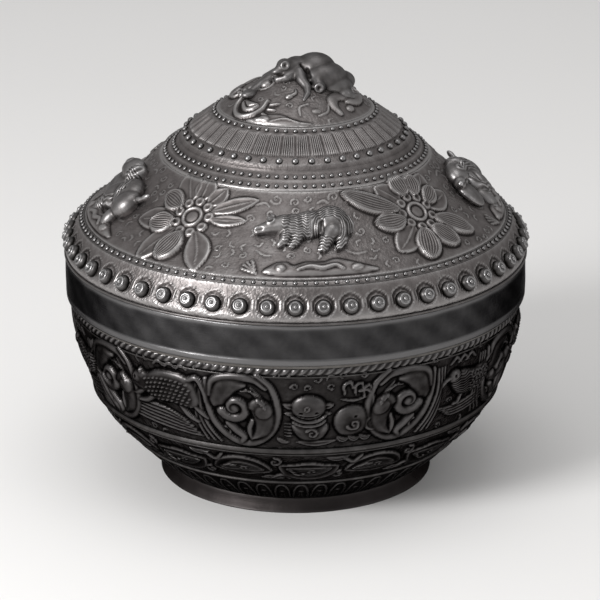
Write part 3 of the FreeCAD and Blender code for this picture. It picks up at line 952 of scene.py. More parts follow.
@dataclass(frozen=True)
class BeadRow:
    """Row of equal domes round the box, made once and copied.

    Attributes:
        name: Name of the piece.
        node: CAD node that it stands for.
        count: Domes in the row.
        radius: Radius of a dome.
        rise: Height of a dome.
        low: Lower edge of the ledge that they sit on, as radius and height.
        high: Its upper edge.
        body: Body that they ride on.
        segments: Segments of a dome.
        rings: Rings of a dome.
        button: Whether the domes are flat and carry a ring and a button.
        crown: Radius, thickness and share of the height of these two.
    """

    name: str
    node: str
    count: int
    radius: float
    rise: float
    low: Point
    high: Point
    body: Body = Body.LID
    segments: int = 10
    rings: int = 5
    button: bool = False
    crown: tuple[Triple, ...] = ((1.16, 0.36, 0.76), (0.0, 0.58, 0.84))

    def one(self) -> Piece:
        """First dome, on its seat at the right of the box.

        Returns:
            The dome's object.
        """
        along = np.array(self.high) - np.array(self.low)
        along /= np.hypot(*along)
        seat = (np.array(self.low) + np.array(self.high)) / 2
        bpy.ops.mesh.primitive_uv_sphere_add(segments=self.segments, ring_count=2 * self.rings, radius=1.0)
        dome = bpy.context.object
        bpy.ops.object.mode_set(mode="EDIT")
        bpy.ops.mesh.select_all(action="SELECT")
        bpy.ops.mesh.bisect(plane_co=(0, 0, -0.25), plane_no=(0, 0, 1), clear_inner=True, use_fill=True)
        bpy.ops.mesh.select_all(action="SELECT")
        bpy.ops.transform.resize(value=(self.radius * MM, self.radius * MM, self.rise * MM),
                                 center_override=(0, 0, 0))
        bpy.ops.object.mode_set(mode="OBJECT")
        spots = read_vertices(dome)
        mark(dome, "wear", np.clip(spots[:, 2] / (self.rise * MM) * (1.6 if self.button else 2.2) - 1.0, -1, 1))
        parts = [dome]
        if self.button:
            level, flat = 0.78 * self.rise * MM, 0.2
            spots[:, 2] = np.where(spots[:, 2] > level, level + flat * (spots[:, 2] - level), spots[:, 2])
            dome.data.vertices.foreach_set("co", spots.ravel())
            for ring, thick, lift in self.crown:
                if ring:
                    bpy.ops.mesh.primitive_torus_add(major_segments=24, minor_segments=6, abso_major_rad=1.0,
                                                     major_radius=ring * MM, minor_radius=thick * MM)
                else:
                    bpy.ops.mesh.primitive_uv_sphere_add(segments=12, ring_count=8, radius=thick * MM)
                extra = bpy.context.object
                extra.data.transform(move_by(0, 0, self.rise * lift * MM))
                mark(extra, "wear", np.full(len(extra.data.vertices), 0.9))
                parts.append(extra)
        join_all(parts, dome)
        spots = read_vertices(dome)
        out = np.array((along[1], -along[0]))
        placed = np.stack((seat[0] * MM + spots[:, 1] * along[0] + spots[:, 2] * out[0], spots[:, 0],
                           seat[1] * MM + spots[:, 1] * along[1] + spots[:, 2] * out[1]), -1)
        dome.data.vertices.foreach_set("co", placed.ravel())
        return dome

    def build(self) -> Piece:
        """Copy the dome all round and join the copies.

        Returns:
            The finished row.
        """
        first = self.one()
        join_all([first] + [turned_copy(first, 360 / self.count * i) for i in range(1, self.count)], first)
        first.data.transform(turn_about(-90.0))
        first.data.update()
        first.name = self.name
        close_up()
        bpy.ops.object.shade_smooth()
        return finish_piece(first, self.body, [self.node])


def move_by(x: float, y: float, z: float) -> Matrix:
    """Matrix that moves by metres."""
    return Matrix.Translation((x, y, z))


def turn_about(angle: float) -> Matrix:
    """Matrix that turns about the box's axis by degrees."""
    return Matrix.Rotation(math.radians(angle), 4, "Z")


def dress(piece: Piece, material: bpy.types.Material) -> None:
    """Give a piece one material.

    Args:
        piece: The piece.
        material: Its material.
    """
    piece.data.materials.clear()
    piece.data.materials.append(material)
    for face in piece.data.polygons:
        face.material_index = 0


# The lid

LINE_LOW, LINE_HIGH = (55.68, 68), (54.14, 69.3)
PAIR_LOW, PAIR_MID, PAIR_HIGH = (34.35, 85.36), (32.08, 87.1), (29.95, 88.73)
LARGE_LOW, LARGE_HIGH = (28.85, 90.35), (27.25, 91.7)
TOP_LOW, TOP_HIGH = (21.56, 95.9), (19.67, 97.2)


@dataclass(frozen=True)
class FlowerPlan:
    """One chased flower.

    Attributes:
        petals: Direction, reach, width, bend and veins of each; one without veins has a midrib.
        ring: Radius of its middle ring.
        eyes: Small beads round that ring.
        eye_circle: Radius of their circle.
    """

    petals: tuple[tuple[float, float, float, float, float], ...]
    ring: float = 2.5
    eyes: int = 9
    eye_circle: float = 4.5

    def chase(self, patch: Patch) -> None:
        """Strike the flower in the middle of a patch.

        Args:
            patch: The patch.
        """
        for way, reach, width, bend, veins in self.petals:
            angle = math.radians(way)
            out, side = (math.cos(angle), math.sin(angle)), (-math.sin(angle), math.cos(angle))
            spine = [(out[0] * r + side[0] * bend * t * t, out[1] * r + side[1] * bend * t * t)
                     for t, r in ((0, 4.6), (0.5, 2.3 + reach * 0.5), (1, reach))]
            if veins:
                patch.leaf(spine, width, 1.1, veins, rim=0.1, fullness=0.7)
            else:
                near_tip = tuple(a * 0.3 + b * 0.7 for a, b in zip(*spine[1:]))
                patch.leaf(spine, width, 0.72, rim=0.5, fullness=0.5)
                patch.band([*spine[:2], near_tip], 0.5, 0.16, (0.6, 0.4), ON_TOP)
        patch.dome((0, 0), (4.3, 4.3), 0.5)
        patch.ring((0, 0), self.ring, 1, 0.55, ON_TOP)
        patch.dome((0, 0), (1.7, 1.7), 0.25, seat=ON_TOP)
        for i in range(self.eyes):
            angle = math.tau * (i + 0.3) / self.eyes
            spot = (self.eye_circle * math.cos(angle), self.eye_circle * math.sin(angle))
            patch.dome(spot, (1.45, 1.45), 0.95)
            patch.dome(spot, (0.8, 0.8), 0.4, seat=CUT)


LEFT_FLOWER = FlowerPlan(((4, 14.5, 3.4, 0.3, 0), (30, 16.5, 4.6, -1, 0), (58, 11, 5.4, 0.5, 0),
                          (92, 11.6, 6.4, 0.4, 0), (126, 14, 7.6, -0.8, 0), (196, 17.5, 6.6, 0.6, 0),
                          (236, 18, 6.6, 1.8, 0), (158, 12, 6.4, 0.8, 9), (208, 12.6, 6.6, -1.2, 9),
                          (264, 14.2, 7, -1.6, 9), (310, 17.6, 6.6, -2.6, 0)))
RIGHT_FLOWER = FlowerPlan(((4, 14.5, 6.4, 0.6, 0), (40, 13, 6.8, 1.2, 0), (126, 12, 6.6, 0.6, 0),
                           (222, 16, 6.4, -1.2, 0), (20, 11, 5.4, 1.2, 8), (62, 11, 6, 1.2, 8),
                           (96, 11.4, 6, -0.6, 8), (158, 19, 6.2, -2.2, 8), (190, 13.4, 6, -1.6, 8),
                           (252, 15, 7, -2, 9), (288, 13.4, 6.6, 1.4, 9), (326, 17.5, 6, -1.5, 8)))


# Motifs of the lid

ROCKS = Motif(0, 12.8, (20, 12.6), (  # scalloped rocks, a tuft and low curls round a beast
    (PLATE, [(-9, -11.6), (-8, -8.4), (-5, -7.6), (-3, -8.6), (0, -7.6), (4, -7.8), (7, -6.8), (10, -7.6), (14, -9.2),
        (17, -11.6)], 0.8, 1.4),
    (BAND, [(-2, -10.2), (1, -9.3), (4, -9.9), (7, -9.2), (9, -10.4)], 1.5, 0.5, (0.4, 0.4), ON_TOP),
    *((DOME, (x, y), (w, 1.1), 0.5, 0, ON_TOP) for x, y, w in ((12.5, -10.2, 1.6), (-6.2, -9.8, 1.2))),
    *((BAND, [(-12.5, -11.4), (-12.5 + 3.4 * math.cos(a), -11.4 + 0.4 + 3.4 * math.sin(a))], 0.8, 0.45, (0.5, 0.9))
        for a in np.radians((100, 122, 144, 166))),
    *((SCROLL, (x, y), r, 1.1 * way, 200, 0.7, 0.16) for x, y, r, way in ((-6.5, 10.4, 1.5, 1), (-2, 9.6, 1.1, -1),
        (1.2, 10.6, 0.9, 1), (7.5, 10.8, 1.3, -1), (11.5, 9.4, 1, 1), (-13, 4.6, 1.1, -1), (14, 0.5, 1.2, 1))),
    *((BAND, line, 0.8, 0.18, (0.4, 0.6)) for line in ([(-12, 8.4), (-9.4, 9.2), (-8.4, 8.2)], [(3.4, 9.4), (5, 9.9),
        (6, 9.2)], [(-12, -4.4), (-10.4, -5.6), (-8.6, -5.8)], [(10, -4.6), (12.4, -5.8), (15, -5.6)])),
))
TOP_MOTIFS = (
    Motif(-13, 3, (9, 3.8), (  # hills with a shell
        (PLATE, [(-8.4, -2.6), (-6, -0.8), (-3, 0.6), (0.4, 0.9), (3.2, -0.4), (5, -1), (8.4, -2.4)], 0.6, 1),
        (DOME, (-3.8, -1.2), (1.5, 1), 0.5, 0, ON_TOP),
        (DOME, (-5.6, -1.7), (0.9, 0.7), 0.4, 0, ON_TOP),
        (BAND, [(-2, -1.6), (1.6, -0.6), (5.2, -1.9)], 0.6, 0.3, (0.4, 0.4), ON_TOP),
    )),
    Motif(-5, 11.2, (3.4, 3.4), (  # drops above the hills
        (DOME, (-0.6, -1), (1.1, 0.8), 0.7, 30),
        (BAND, [(-0.4, -0.8), (0.9, 0.2), (0.8, 1.6)], 0.9, 0.6, (0.9, 0.3)),
    )),
    Motif(18, 6, (7, 4), (  # tufts
        (BAND, [(-4, -2.2), (-3.4, 0.6), (-1, 1.6)], 0.8, 0.25, (0.4, 0.6)),
        (BAND, [(0.6, -2.6), (3.4, -1.6), (4.4, 0.8)], 0.8, 0.25, (0.4, 0.6)),
        (DOME, (0.4, -1), (1.2, 0.8), 0.25),
    )),
    Motif(-48, 5.2, (8, 4.8), (  # crescent cup with rays
        (BAND, [(-4.6, 2.6), (-4.2, -1.2), (-1.6, -3.6), (1.8, -3.4), (4.2, -0.8), (3.8, 2.6)], 1.5, 1, (0.5, 0.5)),
        (PLATE, [(-3, -0.4), (-0.6, -2), (2.2, -1.2), (2.4, 1), (-0.4, 1.4), (-2.8, 1.2)], 0.7, 0.9),
        (BAND, [(-2.4, 0.6), (0, -0.6), (2, 0.6)], 0.6, 0.5, (0.4, 0.4), CUT),
        *((BAND, [(x, y), (x + 1.9, y * 1.4)], 0.8, 0.6, (0.9, 0.4)) for x, y in ((5.4, 1.6), (5.8, 0), (5.4, -1.6))),
    )),
    Motif(-72, 8.2, (5, 4), (  # rosette of drops
        *((DOME, (1.6 * math.cos(a), 1.6 * math.sin(a)), (0.95, 0.8), 0.9, math.degrees(a)) for a in
            np.arange(6) * math.tau / 6),
        (DOME, (0, 0), (0.8, 0.8), 1.1),
    )),
    Motif(-60, 13, (3.6, 3.2), (  # ringed ball
        (DOME, (0, 0), (1.5, 1.5), 1.1),
        (RING, (0, 0), 2.1, 0.7, 0.4),
    )),
    Motif(50, 6.4, (6, 5.6), (  # hooked crest
        (PLATE, [(-3.4, -3.8), (-3.8, -0.4), (-2, 2.6), (1.4, 3.2), (3.8, 1.2), (4.4, -1.8), (2.4, -0.4), (0, 0.4),
            (-1.6, -1.4), (-2, -3.8)], 0.75, 1.5),
        (DOME, (1.6, -2.8), (1.4, 1.1), 0.55),
    )),
    Motif(75, 4.8, (6.4, 4.4), (  # smooth wing leaf
        (PLATE, [(-5, 0.8), (-2, 2.2), (2, 1.6), (5.4, -0.6), (2, -1.6), (-2.4, -1.4)], 0.8, 1.4),
    )),
    Motif(95, 6.6, (4.4, 3.8), (  # ring scroll
        (SCROLL, (0, 0), 2.4, 1.2, 180, 1.2, 0.8),
        (DOME, (0, 0), (0.8, 0.8), 0.7),
    )),
)


@dataclass
class LidSheets:
    """The lid's crown in four chased sheets, and its plain skirt.

    Attributes:
        flower_angles: Degrees of the flowers, left and right kind in turn.
        rock_angles: Degrees of the beasts' rocks.
        boss_count: Bosses round the lid.
        tongue_count: Fluted tongues.
        strokes_per_tongue: Fine ribs of each tongue.
        lip_height: Height of the skirt's worn lip.
        lip_shine: Line mark that makes the lip brighter.
    """

    flower_angles: tuple[float, ...] = (-37, 45.5, 136.5, 233.5)
    rock_angles: tuple[float, ...] = (3, 89.5, 185, 279)
    boss_count: int = 54
    tongue_count: int = 44
    strokes_per_tongue: int = 7
    lip_height: float = 1.7
    lip_shine: float = 2.4

    def band(self) -> Sheet:
        """Band of the bosses, from the seam to the frieze.

        Returns:
            The band, ready to be built.
        """
        outline = np.concatenate((smooth_run([(58.865, 59.3), (59.25, 61.46), (56.95, 65.44), LINE_LOW], 0.4),
                                  straight_run([LINE_LOW, LINE_HIGH], 0.4)[1:]))
        sheet = Sheet("lid_boss_band", Body.LID, ["lid_crown"], "lid_silver", outline, 864)
        for i in range(self.boss_count):
            patch = sheet.under(360 / self.boss_count * i, 5, 3.1, 3.2)
            patch.ring((0, 0), 2.45, 0.9, 0.3, CUT)
            patch.ring((0, 0), 2.95, 0.5, 0.12, ON_TOP)
        return sheet

    def frieze(self) -> Sheet:
        """Main frieze with its flowers and rocks.

        Returns:
            The frieze, ready to be built.
        """
        sheet = Sheet("lid_main_frieze", Body.LID, ["lid_flower_petals", "lid_flower_centres", "lid_flower_leaves"],
                      "lid_silver", smooth_run([LINE_HIGH, (43.72, 76.7), PAIR_LOW], 0.29), 936, sunk=0.25)
        for angle in self.rock_angles:
            ROCKS.chase(sheet, angle)
        for i, angle in enumerate(self.flower_angles):
            (LEFT_FLOWER, RIGHT_FLOWER)[i % 2].chase(sheet.under(angle, 15.2, 21, 15))
        sheet.fill(seed=11, tries=2600, size=1.15, rise=0.2)
        return sheet

    def flutes(self) -> Sheet:
        """Two bead ledges, the plain step and the fluted tongues up to the top beads.

        Returns:
            The ledges, ready to be built.
        """
        outline = straight_run([PAIR_LOW, PAIR_MID, PAIR_HIGH, LARGE_LOW, LARGE_HIGH, TOP_LOW, TOP_HIGH], 0.36)
        sheet = Sheet("lid_fluted_ledges", Body.LID, ["lid_fluted_tongues", "lid_top_line_wires"], "lid_silver",
                      outline, self.tongue_count * self.strokes_per_tongue * 4)
        turns, slope = sheet.turns(self.tongue_count), sheet.slope[None, :]
        foot, top, end = (sheet.slope[np.hypot(*(outline - p).T).argmin()] for p in (LARGE_HIGH, TOP_LOW, TOP_HIGH))
        low, high = foot + 0.3, top - 0.2
        share = unit((slope - low) / (high - low))
        along = (slope > low) & (slope < high)
        cell = np.abs((turns % 1) - 0.5) * 2
        fold = 0.3 * rounded(cell) * along * unit(share * 14)
        strokes = 0.16 * np.cos(math.tau * self.strokes_per_tongue * turns) * along
        strokes = strokes * unit((0.9 - cell) * 6) * 0.84 * rounded(cell)
        sheet.rise = fold + strokes * unit((1 - share) * 10)
        for there, rise in ((0, 0.12), (2.86, 0.12), (5.55, 0.12), (top, 0.2), (end, 0.2)):
            sheet.rise = np.maximum(sheet.rise, rise * rounded(np.clip((slope - there) / 0.4, -1, 1)))
        return sheet

    def top_field(self) -> Sheet:
        """Peaked field inside the top beads, with its hills, cups and crests.

        Returns:
            The field, ready to be built.
        """
        outline = smooth_run([TOP_HIGH, (12.98, 101.6), (5.99, 105.2), (0, 106.5)], 0.28)
        sheet = Sheet("lid_top_field", Body.LID, ["lid_peak_scrolls"], "lid_silver", outline, 480, sunk=0.2)
        for turn in (0, 180):
            for motif in TOP_MOTIFS:
                motif.chase(sheet, turn)
        sheet.fill(seed=5, tries=700, size=1.1, rise=0.2)
        return sheet

    def skirt(self) -> Sheet:
        """Plain strip under the seam, slightly uneven from the hammer, with a worn bright lip below.

        Returns:
            The strip, ready to be built.
        """
        outline = straight_run([(59.4, 48.9), (59.4, 59.3)], 0.4)
        sheet = Sheet("lid_plain_skirt", Body.LID, ["lid_skirt"], "skirt_silver", outline, 480, wall=1.6, sunk=0.12)
        turns, up = sheet.turns(math.tau), sheet.slope[None, :]
        sheet.rise = (0.035 * np.sin(9 * turns + 0.3 * up) + 0.03 * np.sin(23 * turns - 0.5 * up)
                      + 0.02 * np.sin(41 * turns + 0.9 * up)) - 0.05
        sheet.rise[:, [0, -1]] = -0.1
        sheet.phase[:] = PLAIN_PHASE
        sheet.lined[:] = self.lip_shine * unit((self.lip_height - up) * 3)
        return sheet


@dataclass(frozen=True)
class Lump:
    """One rounded mass of a cast figure.

    Attributes:
        middle: Its middle.
        radii: Its half lengths.
        turn: Degrees that it is turned in its plane.
    """

    middle: Triple
    radii: Triple
    turn: float = 0.0


@dataclass(frozen=True)
class Limb:
    """One tapering limb of a cast figure.

    Attributes:
        places: Places along it.
        start: Radius at the first place.
        end: Radius at the last.
    """

    places: tuple[Triple, ...]
    start: float
    end: float

    def lumps(self) -> list[Lump]:
        """Closely set balls along the limb.

        Returns:
            One lump for each ball, from the start to the end.
        """
        runs, per_run = len(self.places) - 1, 6
        balls = []
        for i in range(runs * per_run + 1):
            k = min(i // per_run, runs - 1)
            within = i / per_run - k
            size = self.start + (self.end - self.start) * i / (runs * per_run)
            spot = tuple(a + (b - a) * within for a, b in zip(self.places[k], self.places[k + 1]))
            balls.append(Lump(spot, (size, size, size)))
        return balls


@dataclass
class CastFigure:
    """Figure in high relief, smoothly joined from lumps, X to its right, Y up and Z out of its seat.

    Attributes:
        lumps: Its masses.
        limbs: Its limbs.
        grain: Size of the mesh.
        soften: Passes that smooth its skin.
        eyes: Places of its ringed eyes.
        grooves: Short cut lines, each from one place to another.
        fur_middle: Middle of its curved fur.
        fur_reach: First and last distance of the fur from that middle.
        fur_right: Where the fur starts, across.
        fur_pitch: Pitch of the fur lines.
    """

    lumps: tuple[Lump, ...]
    limbs: tuple[Limb, ...] = ()
    grain: float = 0.22
    soften: int = 6
    eyes: tuple[Triple, ...] = ()
    grooves: tuple[tuple[Triple, Triple], ...] = ()
    fur_middle: Point = (0, 0)
    fur_reach: Point = (0, 0)
    fur_right: float = 0.0
    fur_pitch: float = 0.6

    def mould(self) -> Piece:
        """Join the lumps into one skin, smooth it and cut its details.

        Returns:
            The figure, still on its own seat at the origin.
        """
        bpy.ops.object.select_all(action="DESELECT")
        parts = []
        for lump in self.lumps + tuple(ball for limb in self.limbs for ball in limb.lumps()):
            bpy.ops.mesh.primitive_uv_sphere_add(segments=24, ring_count=14, radius=MM)
            part = bpy.context.object
            part.data.transform(turn_about(lump.turn) @ Matrix.Diagonal((*lump.radii, 1)))
            part.data.transform(move_by(*(c * MM for c in lump.middle)))
            parts.append(part)
        whole = parts[0]
        join_all(parts, whole)
        skin = whole.modifiers.new("skin", "REMESH")
        skin.mode, skin.voxel_size = "VOXEL", self.grain * MM
        bpy.ops.object.modifier_apply(modifier="skin")
        soften = whole.modifiers.new("soften", "SMOOTH")
        soften.factor, soften.iterations = 0.6, self.soften
        bpy.ops.object.modifier_apply(modifier="soften")
        self.carve(whole)
        return whole

    def carve(self, piece: Piece) -> None:
        """Cut ringed eyes and grooves, and name the fur lines, which run across the breast and round the flank.

        Args:
            piece: The joined figure.
        """
        spots = read_vertices(piece) / MM
        normals = read_vertices(piece, "normal")
        lift = np.zeros(len(spots))
        for eye in self.eyes:
            gap = np.sqrt(((spots - eye) ** 2).sum(1))
            lift += 0.26 * mound(gap - 0.95, 0.32) - 0.32 * mound(gap, 0.45)
        for start, end in self.grooves:
            first, run = np.array(start), np.array(end) - np.array(start)
            share = unit(((spots - first) @ run) / (run @ run))
            gap = np.sqrt(((spots - first - share[:, None] * run) ** 2).sum(1))
            lift -= 0.42 * mound(gap, 0.42)
        piece.data.vertices.foreach_set("co", ((spots + normals * lift[:, None]) * MM).ravel())
        piece.data.update()
        mark(piece, "ground", np.zeros(len(spots)))
        mark(piece, "wear", read_wear(piece, passes=14, depth=0.22))
        x, y, breast = spots[:, 0], spots[:, 1], self.fur_middle[0] - 4.2
        reach = np.hypot(x - self.fur_middle[0], y - self.fur_middle[1])
        sway = 0.16 * np.sin(3.4 * x) + 0.1 * np.sin(1.3 * y)
        front = unit((breast - x) / 1.2)
        inside = (unit((reach - self.fur_reach[0]) * 2) * unit((self.fur_reach[1] - reach) * 2)
                  * unit((x - self.fur_right) * 1.5))
        rows = y * 1.05 + 0.22 * x + 0.12 * np.sin(2.3 * x)
        mark(piece, "phase", (np.where(front > 0.5, rows, reach) + sway) / self.fur_pitch)
        mark(piece, "lined", inside * unit(np.abs(front - 0.5) * 3))


BOAR = CastFigure((
    Lump((-2.6, 2.7, 0), (5.2, 3.7, 2.7)), Lump((1.6, 3.3, 0.1), (5.4, 3.9, 2.9), 6),
    Lump((6.4, 4, 0.2), (4.6, 4.5, 3.2), -12), Lump((8.4, 2.4, 0.1), (3.1, 3.9, 2.6)),
    Lump((-1.4, 0.9, 0.4), (4.8, 2, 2.2), -4), Lump((-7.4, 5.2, 0.5), (0.8, 1.4, 1), 22),
    Lump((-8.4, 4.9, 0.4), (0.6, 1, 0.8), 30), Lump((-11.6, 1.9, 0.3), (0.9, 1.2, 1.2)),
), (
    Limb(((-5, 3.2, 0.4), (-8, 2.8, 0.5), (-11.4, 1.9, 0.3)), 2.7, 1.1),
    Limb(((-4.2, 0.8, 0.6), (-5, -1.2, 0.6), (-6.2, -2.4, 0.4)), 1.7, 0.85),
    Limb(((-1.4, 0.4, 0.8), (-2.2, -1.8, 0.6), (-3.4, -2.9, 0.4)), 1.7, 0.85),
    Limb(((6.6, 0.8, 1), (5.2, -1.6, 0.8), (4.4, -3.6, 0.5), (3.6, -3.9, 0.4)), 2.3, 0.9),
    Limb(((8.8, 0.6, 0.6), (9.2, -1.6, 0.5), (8.2, -3.4, 0.3)), 1.9, 0.9),
    Limb(((10.6, 4.6, 0.6), (11.5, 3.2, 0.5), (11.5, 1.2, 0.2)), 0.9, 0.55),
), grain=0.2, eyes=((-8.3, 3.7, 2.4),), grooves=(((-12.2, 1.3, 1.3), (-10.6, 1.5, 1.6)),
                                              ((4.2, 2.8, 2.8), (4, 0.4, 2.2)), ((4, 0.4, 2.2), (4.8, -1.4, 1.9))),
    fur_middle=(6.2, 1), fur_reach=(2.4, 12.4), fur_right=-5.6, fur_pitch=0.74)
CROUCHING_BEAST = CastFigure((
    Lump((-5.6, 4.6, 1.2), (4.6, 3.3, 2.8), 18), Lump((-10, 3.6, 1.2), (1.9, 1.6, 1.6), 10),
    Lump((-11.6, 3.7, 1.5), (0.8, 0.8, 0.9)), Lump((0.4, 4.8, 1.3), (2.3, 3.2, 2.9), -12),
    Lump((-8, -0.4, 0.2), (4.6, 5, 1.7)), Lump((1.8, -2.4, 1), (4.3, 4.4, 3), 10),
    Lump((-1.8, -5.8, 0.5), (2.1, 3.9, 1.9), -16), Lump((-3.4, -9, 0.3), (1.6, 0.9, 1.2)),
    Lump((6.4, 0.8, 0.6), (5.6, 4.8, 3.2), -6), Lump((10.4, -0.8, 0.4), (3.8, 4.4, 2.9)),
    Lump((9.6, -5.8, 0.4), (1.9, 3.2, 1.7), 12), Lump((8.8, -8.6, 0.2), (1.6, 0.8, 1.1)),
    Lump((13.4, 2.4, 0.3), (2.4, 0.8, 0.9), 35), Lump((15.4, 4.4, 0.2), (1.7, 0.7, 0.8), 55),
), grain=0.24, eyes=((-6.2, 5.4, 3.8),), grooves=(
    ((-11.4, 2.8, 2.2), (-8, 2.6, 2.6)), ((-8, 2.6, 2.6), (-5.2, 1.2, 2.6)), ((-5.2, 1.2, 2.6), (-2.4, 0.4, 3)),
    ((-1.6, 7.6, 2.6), (-1.2, 3, 4.4)), ((0.4, 8, 2.8), (0.6, 3.2, 4.4)), ((2, 7.6, 2.4), (2.4, 3.4, 3.8)),
    ((2.6, 2.2, 3.6), (-1, -2, 3.6)), ((6.6, -2.6, 3.2), (8.2, 1.4, 3.6))),
    fur_middle=(1.8, -1.4), fur_reach=(2.6, 7.4), fur_right=-2.6, fur_pitch=0.9)
PEAK_BEAST = CastFigure((
    Lump((4.9, 0.2, 107), (5.4, 4.6, 4.2)), Lump((0.4, -0.4, 107.2), (3.9, 3.5, 3.2)),
    Lump((7.4, -2.2, 105.2), (5.8, 4.6, 4.1), 20), Lump((9.8, -3.2, 103.4), (4.6, 3.6, 2.8)),
    Lump((11.2, -0.2, 103.9), (4, 3.6, 2.8)), Lump((-2.7, -2.8, 108.5), (2.2, 2.1, 2)),
    Lump((5.9, -7.2, 104.1), (1.8, 1.6, 1.9)), Lump((2.6, 4.4, 105.4), (4.2, 3.2, 2.8), -15),
    Lump((-11.6, -6, 102.1), (1.9, 2.5, 1.1), -40), Lump((0.6, 12.6, 102.4), (3.4, 1.8, 1.3), 10),
), (
    Limb(((0.6, -1.2, 107.4), (-2.6, -2.8, 108.2), (-4.9, -4, 107)), 2.7, 1.2),
    Limb(((0, -3.2, 106.6), (-2.2, -4.8, 106), (-4.4, -4.8, 105.4)), 1.9, 1.1),
    Limb(((1, -3.8, 107), (1.5, -6, 105.8), (2.9, -8, 104.4), (3.1, -9.9, 103.3), (2.1, -12, 102.2)), 1.7, 0.6),
    Limb(((5, -3.6, 106.4), (5.8, -6.6, 104.8)), 2, 1.6),
    Limb(((10.4, -3.6, 103.4), (12.6, -5.2, 101.9), (14.2, -5, 101.2)), 2.4, 1.1),
    Limb(((-2, 2, 106), (-4, 5, 104.4), (-7.6, 8, 102.4)), 2.8, 1.2),
    Limb(((-5, -1.2, 105.2), (-8.4, -3.2, 103.6), (-11.4, -5.4, 102.2)), 2, 1.1),
    Limb(((2.4, 6, 104.8), (2.8, 9.6, 103.4), (1.4, 12.2, 102.2)), 2.2, 1.2),
), grain=0.26, soften=14, eyes=((-2.6, -4.9, 109.2), (5.9, -8.7, 104.3)), grooves=(
    ((3, -3.8, 107.8), (3.6, -5.8, 106.4)), ((-5.8, -4.8, 106.6), (-3.4, -5.4, 107)),
    ((8.6, -2.6, 108.2), (7.8, -6, 105.4)), ((1.4, -3.2, 109.2), (2.4, -4.4, 107.6)),
    ((12, -2.4, 105.4), (12.6, -3.8, 103.6))))


@dataclass
class LidTrim:
    """Rows of bosses and beads, and the beasts in high relief.

    Attributes:
        rows: Rows of beads and bosses.
        boar_angles: Degrees of the boars.
        crouching_angles: Degrees of the crouching beasts.
    """

    rows: tuple[BeadRow, ...] = (
        BeadRow("lid_bosses", "lid_boss_row", 54, 2.1, 1.8, (59.25, 61.46), (56.95, 65.44), segments=20, rings=8,
                button=True),
        BeadRow("lid_frieze_beads", "lid_lower_bead_row", 136, 0.6, 0.58, LINE_LOW, LINE_HIGH),
        BeadRow("lid_outer_beads", "lid_outer_pair_bead_row", 90, 0.62, 0.6, PAIR_LOW, PAIR_MID),
        BeadRow("lid_inner_beads", "lid_inner_pair_bead_row", 86, 0.62, 0.6, PAIR_MID, PAIR_HIGH),
        BeadRow("lid_flute_beads", "lid_large_bead_row", 44, 0.92, 0.9, LARGE_LOW, LARGE_HIGH, segments=14, rings=6),
        BeadRow("lid_top_beads", "lid_top_bead_row", 54, 0.62, 0.6, TOP_LOW, TOP_HIGH),
    )
    boar_angles: tuple[float, ...] = (3, 185)
    crouching_angles: tuple[float, ...] = (-81, 89.5)

    def figures(self) -> Piece:
        """Boars and crouching beasts in high relief on the frieze.

        Returns:
            The finished piece.
        """
        low, high = np.array(LINE_HIGH), np.array(PAIR_LOW)
        rise = (high - low) / np.hypot(*(high - low))
        seat = Matrix(((1, 0, 0, 0), (0, -rise[0], -rise[1], -43.72 * MM),
                       (0, rise[1], -rise[0], 76.7 * MM), (0, 0, 0, 1)))
        placed = []
        for figure, angles in ((BOAR, self.boar_angles), (CROUCHING_BEAST, self.crouching_angles)):
            first = figure.mould()
            first.data.transform(seat)
            placed += [turned_copy(first, angle) for angle in angles[1:]] + [first]
            first.data.transform(turn_about(angles[0]))
        whole = placed[-1]
        join_all(placed, whole)
        whole.name = "lid_frieze_figures"
        bpy.ops.object.shade_smooth()
        return finish_piece(whole, Body.LID, ["lid_frieze_beasts"])

    def peak_group(self) -> Piece:
        """Beast crouching over the very top, with smaller ones round it.

        Returns:
            The finished piece.
        """
        whole = PEAK_BEAST.mould()
        whole.name = "lid_peak_group"
        bpy.ops.object.shade_smooth()
        return finish_piece(whole, Body.LID, ["lid_peak_beast", "lid_climbing_beasts"])


# Motifs of the bowl

